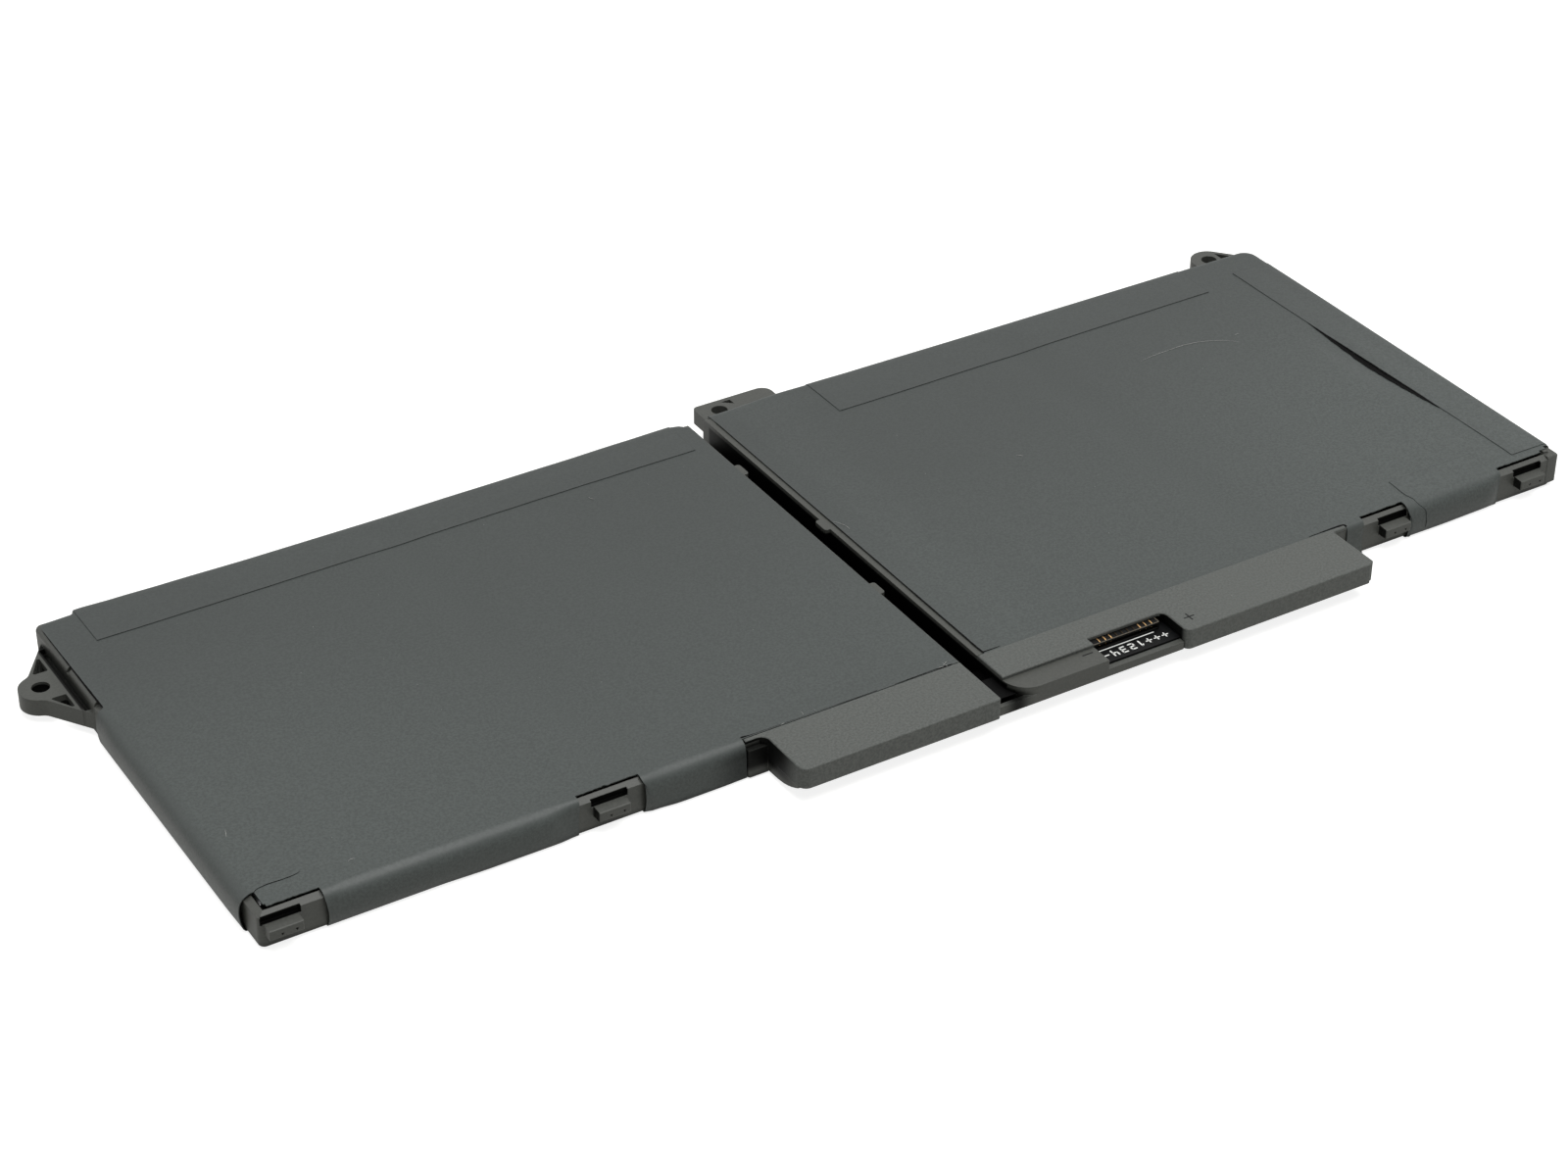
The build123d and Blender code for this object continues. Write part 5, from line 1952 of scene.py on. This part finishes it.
    def fibres(self, finishes: Finishes) -> None:
        """Thin white hairs on the films.

        Args:
            finishes: Materials.
        """
        draw, patch = random.Random(11), Patch()
        left, right = self.left, self.right
        starts = (
            (left, -108.0, -20.0, 1.2, 1.6), (left, -96.0, -33.6, 0.4, 1.1), (left, -22.0, 30.5, 2.6, 1.2),
            (right, 44.0, 6.0, 2.3, 1.3), (right, 98.0, 20.0, 0.3, 1.0), (right, 7.0, 5.2, -0.9, 3.4),
            (right, 78.8, 21.1, 0.16, 19.5), (left, -28.6, -37.0, 0.2, 0.7), (left, -24.6, -36.6, 0.9, 0.8),
            (left, -22.4, -36.9, 2.0, 0.6), (left, -0.4, -36.8, 0.5, 1.6), (left, 0.3, -37.2, 1.9, 1.1),
            (left, -1.2, -36.9, 0.1, 0.9),
        )
        for skin, x, y, heading, length in starts:
            path, bend, parts = [], draw.uniform(-0.9, 0.9), 8
            for share in spaced(0.0, 1.0, parts):
                path.append(skin.surface(x, y, 0.04 + 0.03 * math.sin(math.pi * share)))
                x += math.cos(heading) * length / parts
                y += math.sin(heading) * length / parts
                heading += bend / parts + draw.uniform(-0.12, 0.12)
            patch.tube(path, 0.028)
        item = Bench.mesh("white_fibres", patch)
        Bench.finish(item, finishes.lint, "film")

    def make(self, finishes: Finishes) -> None:
        """Build everything that lies on the packs.

        Args:
            finishes: Materials.
        """
        dust = (
            Lint("left_film_dust", self.left, (-109.0, 0.5, -34.0, 40.0), 2600.0, 5),
            Lint("right_film_dust", self.right, (8.5, 116.0, -34.0, 40.0), 2600.0, 9),
        )
        for part in (*self.films(), *self.tapes(), *self.slits()):
            part.make(finishes)
        self.fibres(finishes)
        for part in dust:
            part.make(finishes)


@dataclass
class ConnectorBay:
    """White legends, contact springs and moulded polarity marks around the connector bay.

    Attributes:
        board_top: Height of the circuit board's upper face.
        cover_top: Height of the cover's upper face.
        ledge_top: Height of the ledge left of the bay.
        connector_box: Box of the connector's housing.
        legend_y: Y of the legends' middle line.
        marks: X of each legend and what it says.
        line: X range of the white line, its Y and its width.
        ink: Thickness of the printed ink.
        stroke: Width of a printed stroke, as a part of the mark's size.
        sign_size, digit_size: Sizes of the printed marks.
        plus_place, minus_place: X and Y of the moulded marks.
        sign_arm, sign_width: Half length and width of their bars.
        sign_sink, sign_rise: How far they reach into the plastic and over it.
    """

    board_top: float
    cover_top: float
    ledge_top: float
    connector_box: tuple[Vector, Vector]
    legend_y: float = -45.05
    marks: tuple[tuple[float, str], ...] = (
        (23.75, "-"), (25.3, "4"), (26.9, "3"), (28.5, "2"), (30.0, "1"), (31.6, "+"), (33.1, "+"), (34.6, "+"),
    )
    line: tuple[float, float, float, float] = (23.3, 33.5, -43.6, 0.18)
    ink: float = 0.02
    stroke: float = 0.19
    sign_size: float = 1.15
    digit_size: float = 1.34
    plus_place: Pair = (38.8, -45.3)
    minus_place: Pair = (20.35, -44.8)
    sign_arm: float = 0.85
    sign_width: float = 0.26
    sign_sink: float = 0.02
    sign_rise: float = 0.012

    def legend(self, patch: Patch, text: str, x: float, size: float) -> None:
        """Add one printed mark.

        Args:
            patch: Where it goes.
            text: Digit, plus or minus.
            x: X of its middle.
            size: Height of a digit.
        """
        y = self.legend_y
        for (ax, ay), (bx, by) in self.strokes(text):
            plan = self.bar(x + ax * size, y + ay * size, x + bx * size, y + by * size, self.stroke * size)
            patch.prism(plan, *self.ink_range())

    def ink_range(self) -> Pair:
        """Heights between which the ink lies."""
        return self.board_top - 0.005, self.board_top + self.ink

    @staticmethod
    def strokes(text: str) -> tuple[tuple[Pair, Pair], ...]:
        """Straight strokes of a mark within half a unit of its middle, read from behind.

        Args:
            text: The mark.

        Returns:
            Start and end of each stroke.
        """
        low, high, half = -0.5, 0.5, 0.28
        top, waist, foot = ((-half, high), (half, high)), ((-half, 0.0), (half, 0.0)), ((-half, low), (half, low))
        table = {
            "-": (((-0.35, 0.0), (0.35, 0.0)),),
            "+": (((-0.42, 0.0), (0.42, 0.0)), ((0.0, -0.42), (0.0, 0.42))),
            "1": (((0.0, low), (0.0, high)), ((0.0, low), (0.22, -half))),
            "2": (foot, ((-half, low), (-half, 0.0)), waist, ((half, 0.0), (half, high)), top),
            "3": (foot, ((-half, low), (-half, high)), ((-half, 0.0), (0.2, 0.0)), top),
            "4": (((half, low), (half, 0.0)), waist, ((-half, low), (-half, high))),
        }
        return table[text]

    @staticmethod
    def bar(ax: float, ay: float, bx: float, by: float, width: float) -> list[Pair]:
        """Outline of a stroke with short chamfered ends, anticlockwise.

        Args:
            ax, ay, bx, by: Start and end.
            width: Width.

        Returns:
            Its corners.
        """
        along = Vector((bx - ax, by - ay)).normalized()
        across = Vector((-along.y, along.x)) * (width / 2)
        start, end = Vector((ax, ay)), Vector((bx, by))
        tip = along * (width / 2)
        corners = (
            start - across, end - across, end - across * 0.5 + tip, end + across * 0.5 + tip,
            end + across, start + across, start + across * 0.5 - tip, start - across * 0.5 - tip,
        )
        return [(corner.x, corner.y) for corner in corners]

    def prints(self, finishes: Finishes) -> None:
        """White legends and line on the board.

        Args:
            finishes: Materials.
        """
        patch = Patch()
        for x, text in self.marks:
            self.legend(patch, text, x, self.sign_size if text in "+-" else self.digit_size)
        left, right, y, width = self.line
        patch.prism(self.bar(left, y, right, y, width), *self.ink_range())
        item = Bench.mesh("board_legends", patch)
        Bench.finish(item, finishes.white_ink, "circuit_board", smooth=False)

    def polarity(self, finishes: Finishes) -> None:
        """Dark moulded minus on the ledge and plus on the cover.

        Args:
            finishes: Materials.
        """
        patch = Patch()
        arm, width = self.sign_arm, self.sign_width
        x, y = self.plus_place
        low, high = self.cover_top - self.sign_sink, self.cover_top + self.sign_rise
        for ends in ((x - arm, y, x + arm, y), (x, y - arm, x, y - width / 2), (x, y + width / 2, x, y + arm)):
            patch.prism(self.bar(*ends, width), low, high)
        x, y = self.minus_place
        low, high = self.ledge_top - self.sign_sink, self.ledge_top + self.sign_rise
        patch.prism(self.bar(x - arm, y, x + arm, y, width), low, high)
        item = Bench.mesh("polarity_plus", patch)
        Bench.finish(item, finishes.dark_mark, "cover_plastic", smooth=False)

    def springs(self, finishes: Finishes) -> None:
        """The contact row inside the connector."""
        low, high = self.connector_box
        SpringRow((23.9, low.y + 0.25, high.z - 0.06), 10, 1.07).make(finishes)

    def outline(self, finishes: Finishes) -> None:
        """Thin raised rim around the connector's top.

        Args:
            finishes: Materials.
        """
        low, high = self.connector_box
        patch, width, inset = Patch(), 0.13, 0.08
        left, right, front, back = low.x + inset, high.x - inset, low.y + inset, high.y - inset
        corners = ((left, front), (right, front), (right, back), (left, back), (left, front))
        for start, end in zip(corners, corners[1:]):
            patch.prism(self.bar(*start, *end, width), high.z - 0.02, high.z + 0.05)
        item = Bench.mesh("connector_rim", patch)
        Bench.finish(item, finishes.rim, "connector_plastic", smooth=False)

    def make(self, finishes: Finishes) -> None:
        """Build the bay's pieces.

        Args:
            finishes: Materials.
        """
        for build in (self.prints, self.polarity, self.springs, self.outline):
            build(finishes)


@dataclass
class Gusset:
    """Round-nosed plate and web that carry the left housing's left flank down to the frame's foot.

    Attributes:
        cover: Box of the left housing's cover.
        wall: Y of the frame's front wall.
        setback: Distance from the cover's left end to the plate.
        thickness: Of the plate.
        rooted: How far both reach into the wall.
        web_width, web_depth, web_break: Web beside the plate, and the break of its free edge.
        web_foot, web_rise: Its lower end, and how far it stands over the plate.
        profile: Distance in front of the plate's back end and height of its lower edge.
    """

    cover: tuple[Vector, Vector]
    wall: float
    setback: float = 3.22
    thickness: float = 0.88
    rooted: float = 0.3
    web_width: float = 3.25
    web_depth: float = 1.25
    web_break: float = 0.25
    web_foot: float = 0.12
    web_rise: float = 2.2
    profile: tuple[Pair, ...] = (
        (0.0, 0.22), (1.9, 0.42), (4.0, 0.52), (5.6, 0.75), (6.8, 1.08), (7.8, 1.47), (8.7, 1.88), (9.4, 2.25),
        (9.9, 2.62),
    )

    def make(self, finishes: Finishes) -> None:
        """Build and dress both.

        Args:
            finishes: Materials.
        """
        patch, sides = Patch(), []
        left, back, top = self.cover[0].x + self.setback, self.wall + self.rooted, self.cover[0].z + 0.05
        for x in (left, left + self.thickness):
            low = patch.row((x, back - forward, z) for forward, z in self.profile)
            high = patch.row((x, back - forward, top) for forward, _ in self.profile)
            patch.join(low, high)
            sides.append(low + high[::-1])
        patch.join(sides[0] + sides[0][:1], sides[1] + sides[1][:1])
        start, end, front = left - self.web_width, left + 0.1, back - self.web_depth
        broken = [(start, front + self.web_break), (start + self.web_break, front)]
        plan = [*broken, (end, front), (end, back), (start, back)]
        patch.prism(plan, self.web_foot, top + self.web_rise)
        item = Bench.mesh("left_housing_gusset", patch)
        Bench.finish(item, finishes.frame, "frame_plastic", smooth=True, sharp_degrees=40.0)


@dataclass
class EndCap:
    """Block that ends a moulded part at its right, with rounded upright and lying edges.

    Attributes:
        name: Name of the piece.
        slot: Material slot in the record.
        x, y, z: Its ranges; the part's own face is at the first X and hides that side.
        radius: Radius of its right front edge in plan.
        edge: Size of the break along its top and bottom.
    """

    name: str
    slot: str
    x: Pair
    y: Pair
    z: Pair
    radius: float
    edge: float

    def plan(self, inset: float) -> list[Pair]:
        """Plan outline, set back from the free sides.

        Args:
            inset: How far back.

        Returns:
            Its corners, anticlockwise.
        """
        left, right = self.x[0], self.x[1] - inset
        front, back = self.y[0] + inset, self.y[1]
        arc = [
            (right - self.radius * (1 - math.sin(turn)), front + self.radius * (1 - math.cos(turn)))
            for turn in spaced(0.0, math.pi / 2, 6)
        ]
        return [(left, front), *arc, (right, back), (left, back)]

    def make(self, material: Material) -> None:
        """Build and dress the block.

        Args:
            material: Its finish.
        """
        patch = Patch()
        low, high = self.z
        levels = ((low, self.edge), (low + self.edge, 0.0), (high - self.edge, 0.0), (high, self.edge))
        patch.loft([patch.row((x, y, z) for x, y in self.plan(inset)) for z, inset in levels])
        item = Bench.mesh(self.name, patch)
        Bench.finish(item, material, self.slot, sharp_degrees=40.0)


@dataclass
class CadFinishes:
    """Puts a finish on every CAD node that is kept."""

    finishes: Finishes

    def dress(self) -> None:
        """Assign the materials."""
        chosen = {node: getattr(self.finishes, finish.value[0]) for finish in Finish for node in finish.value[1]}
        for name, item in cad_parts.items():
            material = chosen.get(name) or self.small_part(name)
            if item.material_slots:
                item.material_slots[0].material = material
            else:
                item.data.materials.append(material)
            LOG.info("%s: finish %s", name, material.name)

    def small_part(self, name: str) -> Material:
        """Finish of a tab, strip or soldered part.

        Args:
            name: The CAD node.

        Returns:
            Its material.
        """
        if name.endswith("_tab") or name.endswith("_strip"):
            return self.finishes.nickel
        if name in ("fuse", "sense_resistor", "thermistor"):
            low, high = box(name)
            half = (high.x - low.x) / 2
            body = (0.55, 0.54, 0.50) if name == "fuse" else (0.05, 0.05, 0.055)
            return CeramicFinish(name + "_body", body, (0.62, 0.61, 0.58), (low.x + high.x) / 2, half * 0.7).material()
        return self.finishes.film


@dataclass(frozen=True)
class Lamp:
    """Soft rectangular lamp.

    Attributes:
        name: Its name.
        place, aim: Where it is and the point that it faces, in metres.
        size: Its two sides, in metres.
        power: In watts.
    """

    name: str
    place: Triple
    aim: Triple
    size: Pair
    power: float

    def make(self) -> None:
        """Build the lamp."""
        data = bpy.data.lights.new(self.name, "AREA")
        data.shape = "RECTANGLE"
        data.size, data.size_y = self.size
        data.energy = self.power
        item = Bench.place(self.name, data)
        item.location = self.place
        item.rotation_euler = (Vector(self.aim) - Vector(self.place)).to_track_quat("-Z", "Y").to_euler()


@dataclass
class Studio:
    """Pale floor, soft lamps, white surroundings and the camera.

    Attributes:
        focal_pixels: Focal length in pixels of the picture.
        picture_width: Width of that picture, in pixels.
        sensor: Width of the camera's sensor, in millimetres.
        yaw, pitch, roll: Camera angles in degrees.
        place: Camera position in millimetres.
        fill: Strength of the surroundings' light on the object.
        floor_colour: Its colour where it takes light.
        floor_glow, floor_mirror: How bright it shows to the camera and in the object's gloss.
        floor_half, floor_drop: Half its side, and how far it lies below the object, in metres.
        lamps: The lamps.
    """

    focal_pixels: float = 3555.1
    picture_width: int = 1600
    sensor: float = 36.0
    yaw: float = 31.70
    pitch: float = 33.54
    roll: float = 0.27
    place: Triple = (-243.25, -385.24, 300.97)
    fill: float = 0.20
    floor_colour: Colour = (0.48, 0.48, 0.455)
    floor_glow: float = 0.84
    floor_mirror: float = 0.45
    floor_half: float = 6.0
    floor_drop: float = 0.0003
    lamps: tuple[Lamp, ...] = (
        Lamp("top_softbox", (0.10, -0.24, 1.20), (0.0, -0.02, 0.0), (1.2, 0.9), 17.0),
        Lamp("back_softbox", (-0.75, 0.95, 0.95), (0.0, 0.05, 0.0), (1.0, 0.55), 1.5),
    )

    def camera(self) -> None:
        """Create the camera and make it the scene's."""
        data = bpy.data.cameras.new("photo_camera")
        data.sensor_width = self.sensor
        data.sensor_fit = "HORIZONTAL"
        data.lens = self.focal_pixels / self.picture_width * self.sensor
        data.clip_start = 0.01
        data.clip_end = 20.0
        item = Bench.place("photo_camera", data)
        stand = Matrix.Translation(Vector(self.place) * MM)
        for degrees, axis in ((-self.yaw, "Z"), (90.0 - self.pitch, "X"), (self.roll, "Z")):
            stand = stand @ Matrix.Rotation(math.radians(degrees), 4, axis)
        item.matrix_world = stand
        bpy.context.scene.camera = item

    def world(self) -> None:
        """White surroundings that light the object less than they show."""
        world = bpy.data.worlds.new("studio")
        world.use_nodes = True
        world.node_tree.nodes.clear()
        tree = Tree(world.node_tree)
        rays = tree.node("ShaderNodeLightPath")
        camera, glossy, through = (
            Signal(tree, rays.outputs[f"Is {kind} Ray"]) for kind in ("Camera", "Glossy", "Transmission")
        )
        inputs = {"Value": camera.most(glossy).most(through), "To Min": self.fill, "To Max": 1.0}
        level = tree.node("ShaderNodeMapRange", {}, inputs)
        sky = tree.node("ShaderNodeBackground", {}, {"Color": WHITE, "Strength": level.outputs["Result"]})
        tree.node("ShaderNodeOutputWorld", {}, {"Surface": sky.outputs[0]})
        bpy.context.scene.world = world

    def floor(self) -> None:
        """Pale floor that shows white to the camera and keeps the object's shadow."""
        mesh = bpy.data.meshes.new("studio_floor")
        corners = ((-1, -1), (1, -1), (1, 1), (-1, 1))
        mesh.from_pydata(
            [(x * self.floor_half, y * self.floor_half, -self.floor_drop) for x, y in corners], [], [(0, 1, 2, 3)]
        )
        item = Bench.place("studio_floor", mesh)
        paint = Painter("pale_floor")
        rays = paint.node("ShaderNodeLightPath")
        direct = Signal(paint, rays.outputs["Is Camera Ray"]) * self.floor_glow
        mirrored = Signal(paint, rays.outputs["Is Glossy Ray"]) * self.floor_mirror
        matte = paint.node("ShaderNodeBsdfDiffuse", {}, {"Color": self.floor_colour})
        glow = paint.node("ShaderNodeEmission", {}, {"Color": WHITE, "Strength": direct + mirrored})
        total = paint.node("ShaderNodeAddShader", {}, {0: matte.outputs[0], 1: glow.outputs[0]})
        paint.feed(paint.output.inputs["Surface"], total.outputs[0])
        mesh.materials.append(paint.material)

    def make(self) -> None:
        """Set up the whole studio."""
        self.camera()
        self.world()
        self.floor()
        for lamp in self.lamps:
            lamp.make()
        bpy.context.scene.view_settings.view_transform = "Standard"


def make_caps(packs: Packs, finishes: Finishes) -> None:
    """End the frame's front wall and the right housing where the photograph does.

    Args:
        packs: Gives the place of the frame's front wall.
        finishes: Materials.
    """
    low, high = box("chassis_frame")
    x, y = (high.x - 1.3, high.x + 1.02), (packs.front - 0.04, packs.front + 2.72)
    EndCap("right_corner_cap", "frame_plastic", x, y, (0.45, 5.62), radius=0.5, edge=0.2).make(finishes.frame)
    low, high = box("board_cover")
    x, y, z = (high.x - 5.2, high.x - 2.55), (low.y + 0.35, packs.front + 0.1), (low.z, high.z - 0.005)
    EndCap("right_housing_end", "cover_plastic", x, y, z, radius=0.6, edge=0.15).make(finishes.cover)


def main() -> None:
    """Build the classes in order and report each piece."""
    logging.basicConfig(level=logging.INFO, format="%(name)s %(message)s")
    Studio().make()
    finishes = Finishes()
    CadFinishes(finishes).dress()
    packs = Packs(box("left_film"), box("right_film"))
    packs.make(finishes)
    board_top, cover_top = box("protection_board")[1].z, box("board_cover")[1].z
    ConnectorBay(board_top, cover_top, cover_top - LEDGE_STEP, box("connector_housing")).make(finishes)
    Gusset(box("left_terminal_cover"), packs.front).make(finishes)
    make_caps(packs, finishes)


if __name__ == "__main__":
    main()
